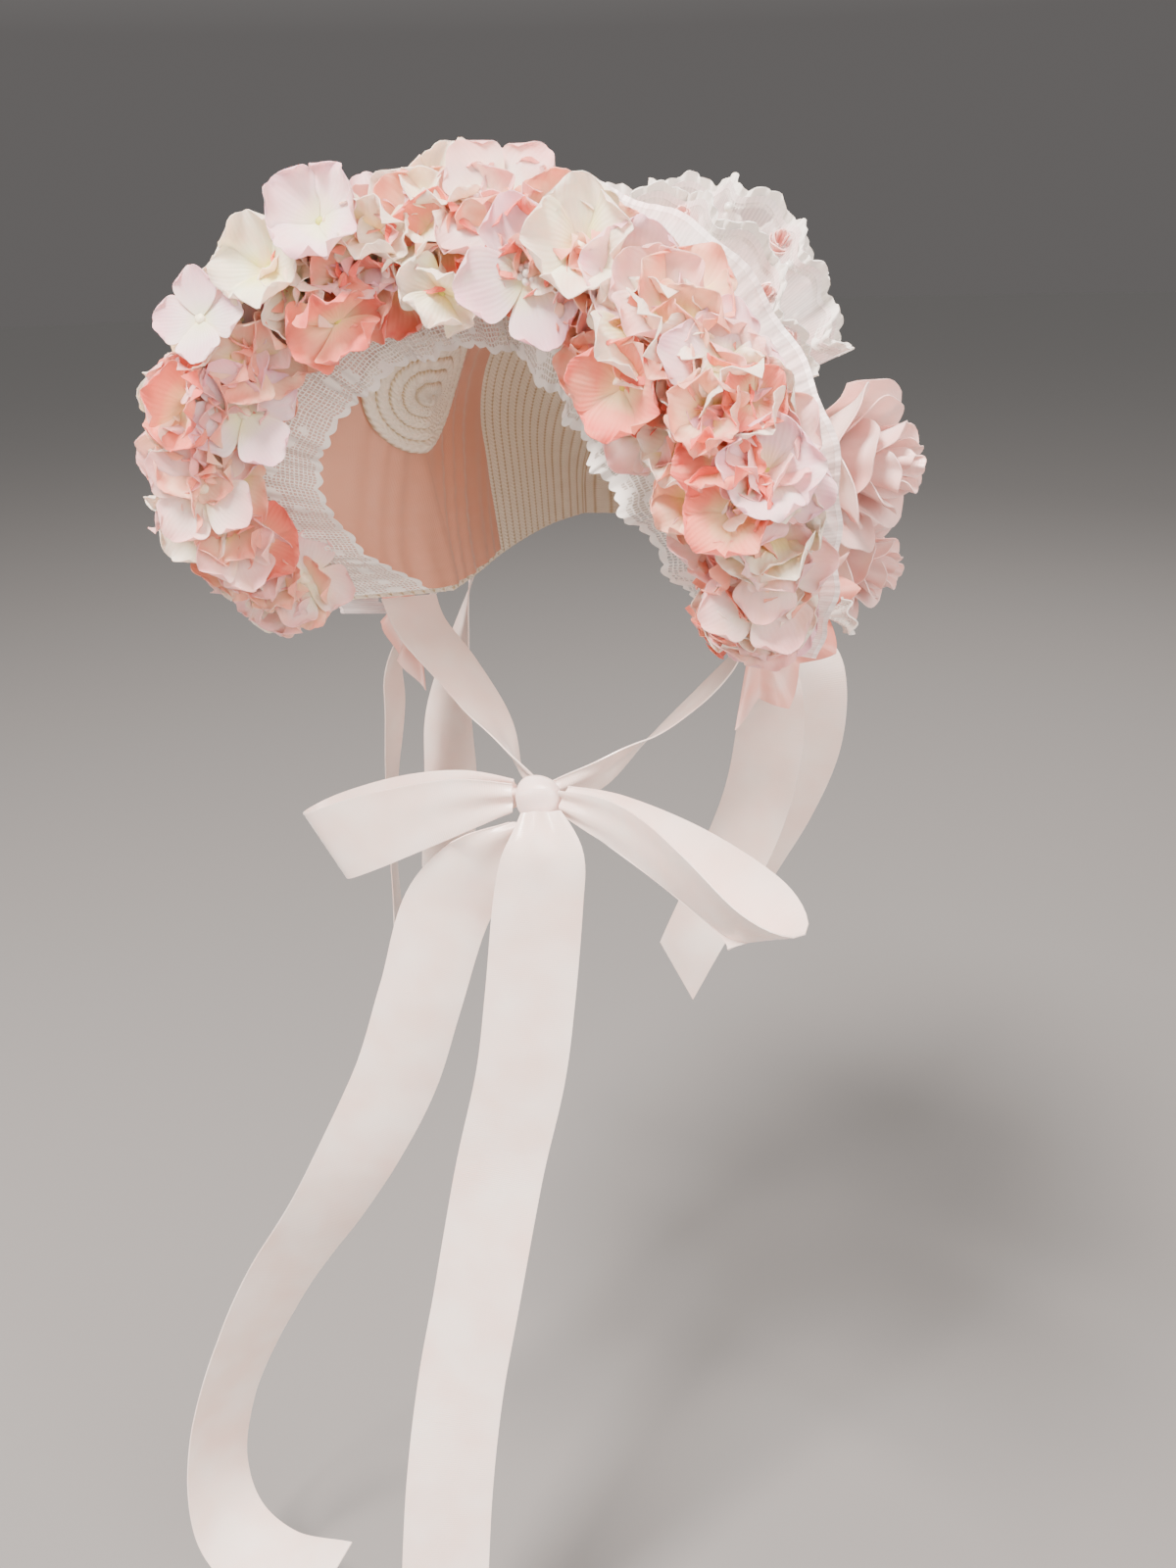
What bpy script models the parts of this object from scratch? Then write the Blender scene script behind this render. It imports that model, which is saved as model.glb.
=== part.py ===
# Lolita bonnet: a braid crown with a flared brim, edged by a band of cloth hydrangeas,
# with organza frills, lace, satin roses and long chin ribbons.
# Tables are in millimetres. The origin is where the crown rests on the top of the head,
# +X is the wearer's left, +Y the back of the head and +Z is up.

import math
import random
from collections import namedtuple

import bmesh
import bpy
from mathutils import Quaternion, Vector

MM = 0.001
SEW_GAP = 0.4           # sewn pieces lie this far apart
FELT = 2.0              # wall of the crown and of the brim
CLOTH = 1.0             # wall of satin, lace and organza
ARCH_STEPS = 18         # facets along the arch of the crown and of the brim

# Crown, one row for each section from the face to the back of the head
CrownSection = namedtuple("CrownSection", "top_y top_z half_width base_y base_z")
CROWN_SECTIONS = [
    CrownSection(-60, -4, 80, -10, -150),
    CrownSection(-25, 1, 82, 18, -148),
    CrownSection(15, 3, 83, 46, -144),
    CrownSection(55, -5, 81, 74, -140),
    CrownSection(88, -25, 75, 96, -136),
    CrownSection(108, -56, 62, 110, -132),
]
CROWN_BANDS = 5
CROWN_TIP_SCALES = (0.7, 0.38)
CROWN_TIP_BULGE = 10
LINING_BANDS = 2        # bands of the crown that the lining covers

# Brim edge, from the top of the arch down to the wearer's left jaw
EdgePoint = namedtuple("EdgePoint", "x y z")
BRIM_EDGE = [
    EdgePoint(0, -108, 20),
    EdgePoint(58, -117, 7),
    EdgePoint(100, -128, -24),
    EdgePoint(124, -133, -64),
    EdgePoint(122, -115, -108),
    EdgePoint(105, -84, -140),
]
BRIM_START = 1.4        # clears the crown where the brim leans back
BRIM_BELLY = 3.0
BRIM_ROWS = 4

# Frills and lace, one row for each place along the arch, from wearer's right to left
FrillRow = namedtuple("FrillRow", "along reach lean wave")
FRILL_ROOT = 0.64       # share of the brim's width
FRILL_OVERHANG = 14
FRILL_CLEAR = 1.2
FRILL_WAVES = 7
FRILL_SHAPE = [
    FrillRow(-1.0, 31, 14, 5), FrillRow(-0.6, 30, 12, 6), FrillRow(-0.3, 34, 12, 8),
    FrillRow(0.0, 32, 10, 5), FrillRow(0.3, 33, 12, 6), FrillRow(0.6, 31, 14, 4),
    FrillRow(1.0, 30, 20, 3),
]
LACE_ROOT = 9           # from the brim's edge
LACE_WAVES = 12
LACE_SHAPE = [
    FrillRow(-1.0, 40, 40, 3), FrillRow(-0.6, 38, 38, 4), FrillRow(-0.3, 38, 40, 4),
    FrillRow(0.0, 40, 48, 4), FrillRow(0.2, 54, 56, 4), FrillRow(0.4, 61, 60, 4),
    FrillRow(0.6, 57, 65, 4), FrillRow(0.8, 40, 64, 4), FrillRow(1.0, 24, 60, 3),
]
RuffleRow = namedtuple("RuffleRow", "name section reach lean puffs")
RUFFLES = [
    RuffleRow("crown_ruffle_front", 1.0, 27, -10, 7),
    RuffleRow("crown_ruffle_middle", 2.0, 29, 4, 8),
    RuffleRow("crown_ruffle_back", 3.0, 27, 16, 7),
]
RUFFLE_SPAN = 0.50      # share of the half arch that the rows cover
RUFFLE_SWELL = 17       # the rows stand taller on the shoulders of the crown

# Flowers: florets of one cluster, then the clusters along the brim's edge
Floret = namedtuple("Floret", "along turn radius")
CLUSTER_COUNT = 9       # each one spans two facets of the brim's edge
FLORET_REACH = 21
FLORET_DEPTH = 11
PETAL_WALL = 1.8
FLORETS = [
    Floret(-10, -64, 20),
    Floret(9, -26, 22),
    Floret(-9, 16, 22),
    Floret(10, 56, 19),
]
LACE_ROOM = 5
LaceFloret = namedtuple("LaceFloret", "cluster along inward radius")
LACE_FLORETS = [        # the band is wider over the lace at the wearer's left
    LaceFloret(5, 11, 17, 17),
    LaceFloret(6, -9, 24, 18), LaceFloret(6, 9, 32, 18),
    LaceFloret(7, -9, 33, 18), LaceFloret(7, 9, 26, 18),
    LaceFloret(8, -9, 23, 17),
]
LACE_FLORET_LIFT = 9
PETAL_MARGIN = 0.25     # room to the cluster's end planes; each floret takes a step more, so
PETAL_STEP = 0.13       # that no two of them are cut in one plane
OVER_LACE_MARGIN = 0.52
SHUFFLE_SEED = 17
SEAM_GAP = 0.2          # half the room between one cluster and the next
Ring = namedtuple("Ring", "out outside")
BACKING_RING = [        # the roll under the florets, round the brim's edge
    Ring(0.4, 0.9), Ring(6, 10), Ring(13, 7), Ring(15, 0), Ring(13, -8), Ring(6, -14),
    Ring(0.4, -14),
]
PETAL_CORNERS = 12
VALLEY_REACH = 0.72     # between two petals, as a share of the floret's radius
VALLEY_DROP = 2.0
PETAL_LIFT = 2.5
FACE_SIDE_TURN = -13    # the wearer's left half of the band rolls towards the face

# Satin roses and the fans under them
RoseTier = namedtuple("RoseTier", "radius height lobe lift")
ROSE_TIERS = [
    RoseTier(0.30, 0.00, 0.00, 0.00), RoseTier(0.42, 0.30, 0.02, 0.00),
    RoseTier(1.00, 0.62, 0.10, 0.10), RoseTier(0.97, 0.70, 0.10, 0.10),
    RoseTier(0.70, 0.62, 0.06, 0.02), RoseTier(0.76, 0.92, 0.08, 0.05),
    RoseTier(0.50, 0.80, 0.05, 0.02), RoseTier(0.50, 1.02, 0.06, 0.03),
    RoseTier(0.26, 0.90, 0.02, 0.00), RoseTier(0.20, 1.06, 0.02, 0.00),
]
Rose = namedtuple("Rose", "name section along radius depth lean_y lean_z sides lobes")
ROSES = [
    Rose("rose_large", 1.40, 0.667, 36, 66, -0.12, 0.02, 15, 5),
    Rose("rose_small", 2.00, 0.920, 27, 52, -0.14, -0.16, 12, 4),
]
Spoke = namedtuple("Spoke", "swing length")
FAN_SPOKES = [
    Spoke(0, 54), Spoke(14, 44), Spoke(26, 55), Spoke(42, 41), Spoke(56, 50),
    Spoke(74, 38), Spoke(90, 47), Spoke(104, 36), Spoke(116, 42),
]
FAN_PLEAT = 4.5
FAN_ROOT = 7
FAN_ALONG = 0.965
FAN_PLACE = 0.28        # share of the brim's width at its lower end
FAN_DOWN = (-0.10, -0.26, -0.96)
FAN_OUTWARD = (0.84, 0.50, 0.16)

# Round of braid inside, at the wearer's right temple
ROUND_ALONG = -0.43
ROUND_RADIUS = 36
ROUND_ROWS = 5
ROUND_STEP = 0.9
ROUND_BASE = 1.2
ROUND_LIFT = 0.4
ROUND_INSET = 3.1
SECTION_DEPTH = 38      # from one crown section to the next
SEAM_BLEND = 16

# Ribbons, one row for each place along the ribbon's middle
RibbonPoint = namedtuple("RibbonPoint", "x y z width turn")
KNOT_CENTRE = (5, -92, -222)
KNOT_SIZE = (11, 7, 11)
KNOT_RINGS = 6
KNOT_CREASE = 0.06
TIE_LEFT = [
    RibbonPoint(81, -43, -162, 32, 0), RibbonPoint(64, -45, -181, 29, 0),
    RibbonPoint(43, -52, -201, 26, 12), RibbonPoint(26, -70, -215, 18, 50),
    RibbonPoint(9, -84.1, -222, 12, 84),
]
TIE_RIGHT = [
    RibbonPoint(-81, -43, -162, 32, 0), RibbonPoint(-62, -45, -181, 29, 0),
    RibbonPoint(-40, -52, -201, 26, -12), RibbonPoint(-18, -70, -215, 18, -50),
    RibbonPoint(1, -84.1, -222, 12, -84),
]
LOOP_RIGHT = [
    RibbonPoint(-7.2, -94.8, -222, 13, 0), RibbonPoint(-32, -104, -226, 27, 0),
    RibbonPoint(-66, -117, -237, 36, 0), RibbonPoint(-94, -118, -250, 38, 0),
    RibbonPoint(-103, -108, -254, 38, 0), RibbonPoint(-92, -98, -249, 38, 0),
    RibbonPoint(-62, -95, -236, 34, 0), RibbonPoint(-32, -93, -226, 26, 0),
    RibbonPoint(-7.2, -90.5, -221, 13, 0),
]
LOOP_LEFT = [
    RibbonPoint(17.2, -94.8, -221, 13, 0), RibbonPoint(50, -105, -225, 26, 10),
    RibbonPoint(84, -119, -236, 34, 22), RibbonPoint(112, -127, -250, 36, 30),
    RibbonPoint(123, -120, -257, 37, 26), RibbonPoint(113, -108, -251, 36, 14),
    RibbonPoint(82, -102, -236, 32, 6), RibbonPoint(46, -96, -225, 24, 0),
    RibbonPoint(17.2, -90.5, -221, 13, 0),
]
TAIL_LEFT = [
    RibbonPoint(10, -100.4, -224, 18, 0), RibbonPoint(15, -109, -240, 36, 0),
    RibbonPoint(13, -113, -264, 41, 0), RibbonPoint(10, -120, -311, 42, 0),
    RibbonPoint(7, -128, -350, 42, 0), RibbonPoint(0, -142, -398, 42, 0),
    RibbonPoint(-5, -162, -457, 42, 8), RibbonPoint(-8, -178, -500, 42, 4),
    RibbonPoint(-7, -196, -545, 42, 0), RibbonPoint(-3, -214, -592, 42, 0),
    RibbonPoint(0, -222, -612, 42, 0),
]
TAIL_RIGHT = [
    RibbonPoint(1, -93, -233.8, 12, 0), RibbonPoint(-14, -101, -247, 30, 0),
    RibbonPoint(-40, -106, -280, 42, 0), RibbonPoint(-55, -113, -329, 42, 0),
    RibbonPoint(-71, -123, -381, 42, -10), RibbonPoint(-101, -140, -444, 42, -30),
    RibbonPoint(-130, -156, -494, 42, -42), RibbonPoint(-150, -170, -540, 42, -52),
    RibbonPoint(-160, -182, -580, 42, -60), RibbonPoint(-160, -192, -612, 42, -62),
    RibbonPoint(-147, -200, -634, 42, -52), RibbonPoint(-117, -206, -640, 42, -40),
    RibbonPoint(-80, -208, -632, 42, -26),
]
STREAMER_LEFT_INNER = [
    RibbonPoint(93, -20, -172, 24, 40), RibbonPoint(91, -20, -210, 34, 80),
    RibbonPoint(84, -21, -245, 35, 88), RibbonPoint(68, -22, -286, 34, 90),
    RibbonPoint(46, -26, -338, 30, 88),
]
STREAMER_LEFT_OUTER = [
    RibbonPoint(97, 10, -162, 22, 30), RibbonPoint(107, 8, -182, 26, 50),
    RibbonPoint(105, 8, -216, 28, 60), RibbonPoint(93, 6, -251, 28, 62),
    RibbonPoint(77, 4, -285, 26, 62),
]
STREAMER_RIGHT_FRONT = [
    RibbonPoint(-104, -12, -166, 20, 0), RibbonPoint(-114, -19, -190, 22, 6),
    RibbonPoint(-116, -20, -216, 24, 8), RibbonPoint(-122, -20, -258, 24, 0),
    RibbonPoint(-123, -22, -312, 23, -10), RibbonPoint(-124, -24, -362, 20, 0),
]
STREAMER_RIGHT_BACK = [
    RibbonPoint(-93, 18, -178, 24, -40), RibbonPoint(-103, 13, -228, 32, -76),
    RibbonPoint(-104, 11, -268, 34, -84), RibbonPoint(-108, 9, -318, 34, -84),
]
# ribbons sewn on: under the brim the place is a share of its width, on the crown a section
SewnEnd = namedtuple("SewnEnd", "wall place width")
TIE_END = SewnEnd("brim end", 0.42, 34)
STREAMER_END = SewnEnd("crown", 0.52, 16)
OUTER_STREAMER_END = SewnEnd("crown", 1.3, 14)
SEWN_ALONG = 0.96
Ribbon = namedtuple("Ribbon", "name rows steps cut colour")
FACE_ON = Vector((math.cos(math.radians(25)), math.sin(math.radians(25)), 0))

COLOURS = {
    "ivory_braid": (0.83, 0.77, 0.64),
    "white_lace": (0.86, 0.84, 0.84),
    "white_organza": (0.84, 0.83, 0.86),
    "pink_satin": (0.83, 0.58, 0.52),
    "pale_satin": (0.87, 0.76, 0.74),
    "rose_satin": (0.90, 0.70, 0.67),
    "petal_pink": (0.88, 0.66, 0.68),
    "petal_cream": (0.88, 0.83, 0.68),
    "petal_coral": (0.85, 0.42, 0.38),
}


def clear_scene():
    for thing in list(bpy.data.objects):
        bpy.data.objects.remove(thing, do_unlink=True)


def cloth_material(name):
    material = bpy.data.materials.get(name) or bpy.data.materials.new(name)
    material.use_nodes = True
    shader = material.node_tree.nodes["Principled BSDF"]
    shader.inputs["Base Color"].default_value = (*COLOURS[name], 1)
    shader.inputs["Roughness"].default_value = 0.35 if "satin" in name else 0.8
    shader.inputs["Metallic"].default_value = 0
    return material


def mesh_object(name, points, faces, colour):
    mesh = bpy.data.meshes.new(name)
    mesh.from_pydata([Vector(point) * MM for point in points], [], faces)
    mesh.materials.append(cloth_material(colour))
    made = bpy.data.objects.new(name, mesh)
    bpy.context.collection.objects.link(made)
    return made


def give_wall(sheet, thickness, side):
    # side 0 puts the wall half on each side of the sheet, 1 puts it all outside
    wall = sheet.modifiers.new("wall", "SOLIDIFY")
    wall.thickness = thickness * MM
    wall.offset = side
    return sheet


def grid_faces(rows, columns, flip=False):
    faces = []
    for row in range(rows - 1):
        for column in range(columns - 1):
            corner = row * columns + column
            face = (corner, corner + 1, corner + columns + 1, corner + columns)
            faces.append(face[::-1] if flip else face)
    return faces


def ring_faces(rings, sides):
    # rings joined one to the next, with a cap of triangles at each end
    faces = []
    for ring in range(rings - 1):
        for side in range(sides):
            following = (side + 1) % sides
            low = ring * sides
            high = low + sides
            faces.append((low + side, low + following, high + following, high + side))
    first = rings * sides
    for side in range(sides):
        following = (side + 1) % sides
        last = (rings - 1) * sides
        faces.append((following, side, first))
        faces.append((last + side, last + following, first + 1))
    return faces


def smooth_row(rows, position):
    # Catmull-Rom between the rows of a table, for a position counted in rows
    last = len(rows) - 1
    position = min(max(position, 0), last)
    index = min(int(position), last - 1)
    t = position - index
    around = [rows[min(max(index + step, 0), last)] for step in (-1, 0, 1, 2)]
    values = []
    for a, b, c, d in zip(*around):
        values.append(0.5 * (2 * b + (c - a) * t + (2 * a - 5 * b + 4 * c - d) * t * t
                             + (3 * b - a - 3 * c + d) * t * t * t))
    return values


def row_along(rows, along):
    # the values of a frill's table at one place along the arch
    along = min(max(along, rows[0].along), rows[-1].along)
    index = 0
    while index < len(rows) - 2 and rows[index + 1].along < along:
        index += 1
    span = rows[index + 1].along - rows[index].along
    return FrillRow(*smooth_row(rows, index + (along - rows[index].along) / span))


class Arch:
    # a curve over the head, read from -1 at the wearer's right end to +1 at the left
    def __init__(self, points):
        self.points = points
        self.lengths = [0]
        for a, b in zip(points, points[1:]):
            self.lengths.append(self.lengths[-1] + (b - a).length)
        self.half = self.lengths[-1] / 2

    def at(self, along):
        target = (along + 1) * self.half
        index = 0
        while index < len(self.points) - 2 and self.lengths[index + 1] < target:
            index += 1
        start = self.points[index]
        step = self.points[index + 1] - start
        return start + step.normalized() * (target - self.lengths[index])

    def tangent(self, along):
        return (self.at(along + 0.02) - self.at(along - 0.02)).normalized()


def mirrored(half):
    return [Vector((-p.x, p.y, p.z)) for p in reversed(half[1:])] + half


def crown_arch(section):
    # a half circle over the head with straight sides below it
    row = CrownSection(*smooth_row(CROWN_SECTIONS, section))
    top = Vector((0, row.top_y, row.top_z))
    base = Vector((0, row.base_y, row.base_z))
    up = (top - base).normalized()
    rise = min(row.half_width, (top - base).length - 4)
    spring = (top - base).length - rise
    half = []
    for step in range(31):
        angle = math.radians(3 * step)
        half.append(base + up * (spring + rise * math.cos(angle))
                    + Vector((row.half_width * math.sin(angle), 0, 0)))
    half.append(base + Vector((row.half_width, 0, 0)))
    return Arch(mirrored(half))


def brim_arch():
    steps = 12 * (len(BRIM_EDGE) - 1)
    half = [Vector(smooth_row(BRIM_EDGE, step / 12)) for step in range(steps + 1)]
    return Arch(mirrored(half))


CROWN_FRONT = crown_arch(0)
BRIM_OUTER = brim_arch()


def crown_frame(section, along):
    # point on the crown's inner face, with its outward normal
    point = crown_arch(section).at(along)
    across = crown_arch(section).tangent(along)
    low = max(section - 0.1, 0)
    back = (crown_arch(low + 0.2).at(along) - crown_arch(low).at(along)).normalized()
    return point, across.cross(back).normalized(), back


def brim_frame(along, share):
    # point on the brim's face side, the way out to its edge, and its outward normal
    def flat_point(place):
        inner = CROWN_FRONT.at(place) + Vector((0, -BRIM_START, 0))
        return inner.lerp(BRIM_OUTER.at(place), share), BRIM_OUTER.at(place) - inner
    point, outward = flat_point(along)
    before = flat_point(along - 0.02)[0]
    after = flat_point(along + 0.02)[0]
    out = outward.normalized()
    normal = out.cross((after - before).normalized()).normalized()
    point -= normal * BRIM_BELLY * math.sin(math.pi * min(max(share, 0), 1))
    return point, out, normal


def brim_width(along):
    return (BRIM_OUTER.at(along) - CROWN_FRONT.at(along)).length


def along_steps(count, reach=1.0, trim=0.0):
    # even places along the arch; trim pulls only the two ends in
    steps = [reach * (2 * step / count - 1) for step in range(count + 1)]
    steps[0] += trim
    steps[-1] -= trim
    return steps


def make_crown():
    rows = []
    for band in range(CROWN_BANDS + 1):
        arch = crown_arch(band * (len(CROWN_SECTIONS) - 1) / CROWN_BANDS)
        rows.append([arch.at(along) for along in along_steps(ARCH_STEPS)])
    rim = rows[-1]
    middle = (rim[0] + rim[-1]) / 2
    for scale in CROWN_TIP_SCALES:
        bulge = Vector((0, CROWN_TIP_BULGE * (1 - scale * scale), 0))
        rows.append([middle + (point - middle) * scale + bulge for point in rim])
    columns = ARCH_STEPS + 1
    points = [point for row in rows for point in row]
    faces = grid_faces(len(rows), columns)
    points.append(middle + Vector((0, CROWN_TIP_BULGE, 0)))
    last = (len(rows) - 1) * columns
    for column in range(ARCH_STEPS):
        faces.append((last + column, last + column + 1, len(points) - 1))
    give_wall(mesh_object("crown", points, faces, "ivory_braid"), FELT, 1)


def make_crown_lining():
    rows = []
    for band in range(LINING_BANDS + 1):
        section = max(band * (len(CROWN_SECTIONS) - 1) / CROWN_BANDS, 0.1)
        row = []
        for along in along_steps(ARCH_STEPS, trim=0.02):
            point, normal, _ = crown_frame(section, along)
            row.append(point - normal * (SEW_GAP + CLOTH))
        rows.append(row)
    points = [point for row in rows for point in row]
    faces = grid_faces(len(rows), ARCH_STEPS + 1)
    give_wall(mesh_object("crown_lining", points, faces, "pink_satin"), CLOTH, 1)


def brim_sheet(name, first, last, rows, offset, thickness, colour, trim=0.0):
    points = []
    for row in range(rows + 1):
        share = first + (last - first) * row / rows
        for along in along_steps(ARCH_STEPS, trim=trim):
            point, _, normal = brim_frame(along, share)
            points.append(point + normal * offset)
    faces = grid_faces(rows + 1, ARCH_STEPS + 1, flip=True)
    return give_wall(mesh_object(name, points, faces, colour), thickness, 1)


def make_frill():
    steps = 6 * FRILL_WAVES + 2
    overhang = 1 + FRILL_OVERHANG / BRIM_OUTER.half
    levels = (0.0, 0.5, 1.0)
    points = []
    for level in levels:
        for along in along_steps(steps, overhang):
            shape = row_along(FRILL_SHAPE, along)
            root, out, normal = brim_frame(along, FRILL_ROOT)
            lean = math.radians(shape.lean)
            rise = normal * math.cos(lean) + out * math.sin(lean)
            swing = math.sin(math.pi * FRILL_WAVES * along + 0.6) - 0.6
            hang = math.cos(2.3 * math.pi * FRILL_WAVES * along)
            height = FELT + FRILL_CLEAR + level * (shape.reach + hang)
            points.append(root + rise * height + out * shape.wave * swing * level ** 1.3)
    faces = grid_faces(len(levels), steps + 1)
    give_wall(mesh_object("brim_frill", points, faces, "white_organza"), CLOTH, 0)


def make_lace():
    steps = 4 * LACE_WAVES
    levels = (0.0, 0.5, 1.0)
    points = []
    for level in levels:
        for along in along_steps(steps, 0.99):
            shape = row_along(LACE_SHAPE, along)
            root, out, normal = brim_frame(along, 1 - LACE_ROOT / brim_width(along))
            stand = math.radians(shape.lean)
            inward = -normal * math.sin(stand) - out * math.cos(stand)
            across = normal * math.cos(stand) - out * math.sin(stand)
            swing = math.sin(math.pi * LACE_WAVES * along)
            height = level * (shape.reach + 1.5 * abs(swing))
            points.append(root - normal * 1.2 + inward * height
                          + across * shape.wave * swing * level)
    faces = grid_faces(len(levels), steps + 1)
    give_wall(mesh_object("brim_lace", points, faces, "white_lace"), CLOTH, 0)


def make_ruffle(row):
    steps = 4 * row.puffs
    levels = (0.0, 0.45, 1.0)
    points = []
    for level in levels:
        for along in along_steps(steps, RUFFLE_SPAN):
            root, normal, back = crown_frame(row.section, along)
            lean = math.radians(row.lean)
            rise = normal * math.cos(lean) + back * math.sin(lean)
            fold = along / RUFFLE_SPAN * math.pi * row.puffs
            swell = RUFFLE_SWELL * math.sin(math.pi * along / RUFFLE_SPAN) ** 2
            height = FELT + SEW_GAP + level * (row.reach + swell + 2.5 * math.cos(2 * fold))
            spread = (1.5 + 9 * level) * math.sin(fold)
            points.append(root + rise * height + back * spread)
    faces = grid_faces(len(levels), steps + 1)
    give_wall(mesh_object(row.name, points, faces, "white_organza"), CLOTH, 0)


def floret(name, centre, axis, reference, radius):
    # four petals with a shallow cone under them that reaches into the backing
    side = reference.cross(axis).normalized()
    front = axis.cross(side).normalized()
    points = []
    for level in (0, 1):
        for corner in range(PETAL_CORNERS):
            angle = math.tau * (corner + 0.5) / PETAL_CORNERS
            valley = corner % 3 == 1
            reach = radius * (VALLEY_REACH if valley else 1.0)
            lift = -VALLEY_DROP if valley else PETAL_LIFT
            points.append(centre + axis * (lift + PETAL_WALL * level)
                          + (side * math.cos(angle) + front * math.sin(angle)) * reach)
    points.append(centre - axis * FLORET_DEPTH)
    points.append(centre + axis * (PETAL_WALL - 1.0))
    return mesh_object(name, points, ring_faces(2, PETAL_CORNERS), "petal_pink")


def keep_between(points, walls, margin):
    # no point crosses the planes that part one cluster from the next
    for place, normal in walls:
        for point in points:
            depth = (point - place).dot(normal)
            if depth < margin:
                point += normal * (margin - depth)


def fuse(body, pieces):
    for piece in pieces:
        union = body.modifiers.new("join", "BOOLEAN")
        union.operation = "UNION"
        union.solver = "EXACT"
        union.object = piece
    scene_state = bpy.context.evaluated_depsgraph_get()
    mesh = bpy.data.meshes.new_from_object(body.evaluated_get(scene_state))
    body.modifiers.clear()
    body.data = mesh
    for piece in pieces:
        bpy.data.objects.remove(piece, do_unlink=True)


def edge_frame(along):
    # the brim's edge, middle of its wall, with the ways along, out and outside
    point, out, normal = brim_frame(along, 1.0)
    return point + normal * FELT / 2, BRIM_OUTER.tangent(along), out, normal


def make_cluster(index, colour, shuffle):
    # a roll of backing round the brim's edge, with its florets fused on
    first = -1 + index * 2 / CLUSTER_COUNT
    last = first + 2 / CLUSTER_COUNT
    middle = (first + last) / 2
    walls = []
    for place, facing in ((first, 1), (last, -1)):
        if abs(place) < 0.99:
            point, tangent, _, _ = edge_frame(place)
            walls.append((point, tangent * facing))
    lace_walls = []
    for place in (first, middle, last):
        edge, _, out, normal = edge_frame(place)
        stand = math.radians(row_along(LACE_SHAPE, place).lean)
        lace_side = out * math.sin(stand) - normal * math.cos(stand)
        lace_walls.append((edge + out * (LACE_ROOM - LACE_ROOT), lace_side))
    points = []
    stations = (first, middle, last)
    for station in stations:
        point, _, out, normal = edge_frame(station)
        points += [point + out * ring.out + normal * ring.outside for ring in BACKING_RING]
    keep_between(points, walls, SEAM_GAP)
    sides = len(BACKING_RING)
    for station in (0, -1):
        ring = points[:sides] if station == 0 else points[2 * sides:3 * sides]
        points.append(sum(ring, Vector()) / sides)
    backing = mesh_object(f"flower_cluster_{index + 1:02d}", points,
                          ring_faces(len(stations), sides), colour)
    backing.data.flip_normals()
    roll = FACE_SIDE_TURN if middle > 0.25 else 0
    sway = 1 if index % 2 else -1
    petals = []
    for number, row in enumerate(FLORETS):
        point, tangent, out, normal = edge_frame(middle)
        turn = math.radians(row.turn + roll + shuffle.uniform(-4, 4))
        away = out * math.cos(turn) + normal * math.sin(turn)
        reach = FLORET_REACH + shuffle.uniform(-1.5, 1.5)
        centre = point + away * reach + tangent * row.along * sway
        tilt = shuffle.uniform(-0.12, 0.12)
        axis = (away + tangent * (0.12 * sway * (-1) ** number + tilt)).normalized()
        spin = Quaternion(axis, math.radians(shuffle.uniform(0, 90)))
        flower = floret("floret", centre, axis, spin @ tangent, row.radius)
        corners = [vertex.co / MM for vertex in flower.data.vertices]
        keep_between(corners, walls, PETAL_MARGIN + PETAL_STEP * number)
        if row.turn < -20:
            keep_between(corners, lace_walls, PETAL_STEP * number)
        for vertex, corner in zip(flower.data.vertices, corners):
            vertex.co = corner * MM
        petals.append(flower)
    over_lace = [row for row in LACE_FLORETS if row.cluster == index + 1]
    for number, row in enumerate(over_lace):
        place = middle + row.along / BRIM_OUTER.half
        edge, tangent, out, normal = edge_frame(place)
        stand = math.radians(row_along(LACE_SHAPE, place).lean)
        inward = -normal * math.sin(stand) - out * math.cos(stand)
        lace_side = out * math.sin(stand) - normal * math.cos(stand)
        centre = (edge + out * (LACE_ROOM - LACE_ROOT) + inward * row.inward
                  + lace_side * LACE_FLORET_LIFT)
        flower = floret("floret", centre, lace_side, tangent, row.radius)
        corners = [vertex.co / MM for vertex in flower.data.vertices]
        keep_between(corners, walls, PETAL_MARGIN + OVER_LACE_MARGIN + PETAL_STEP * number)
        keep_between(corners, lace_walls, OVER_LACE_MARGIN + PETAL_STEP * number)
        for vertex, corner in zip(flower.data.vertices, corners):
            vertex.co = corner * MM
        petals.append(flower)
    fuse(backing, petals)


def make_rose(rose, side):
    place = side * rose.along
    root, normal, _ = crown_frame(rose.section, place)
    axis = (normal + Vector((0, rose.lean_y, rose.lean_z))).normalized()
    foot = root + normal * (FELT + SEW_GAP)
    across = axis.cross(Vector((0, 1, 0))).normalized()
    upward = axis.cross(across).normalized()
    points = []
    for level, tier in enumerate(ROSE_TIERS):
        for corner in range(rose.sides):
            angle = math.tau * corner / rose.sides
            wave = math.cos(rose.lobes * angle + 1.3 * level)
            radius = rose.radius * (tier.radius + tier.lobe * wave)
            height = rose.depth * (tier.height + tier.lift * wave * 0.5)
            height = max(height, 0)
            points.append(foot + axis * height
                          + (across * math.cos(angle) + upward * math.sin(angle)) * radius)
    points.append(foot)
    points.append(foot + axis * rose.depth * 0.98)
    lift = max((foot - point).dot(normal) for point in points[:rose.sides])
    points = [point + normal * lift for point in points]
    name = f"{rose.name}_{'left' if side > 0 else 'right'}"
    made = mesh_object(name, points, ring_faces(len(ROSE_TIERS), rose.sides), "rose_satin")
    made.data.shade_smooth()


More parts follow.
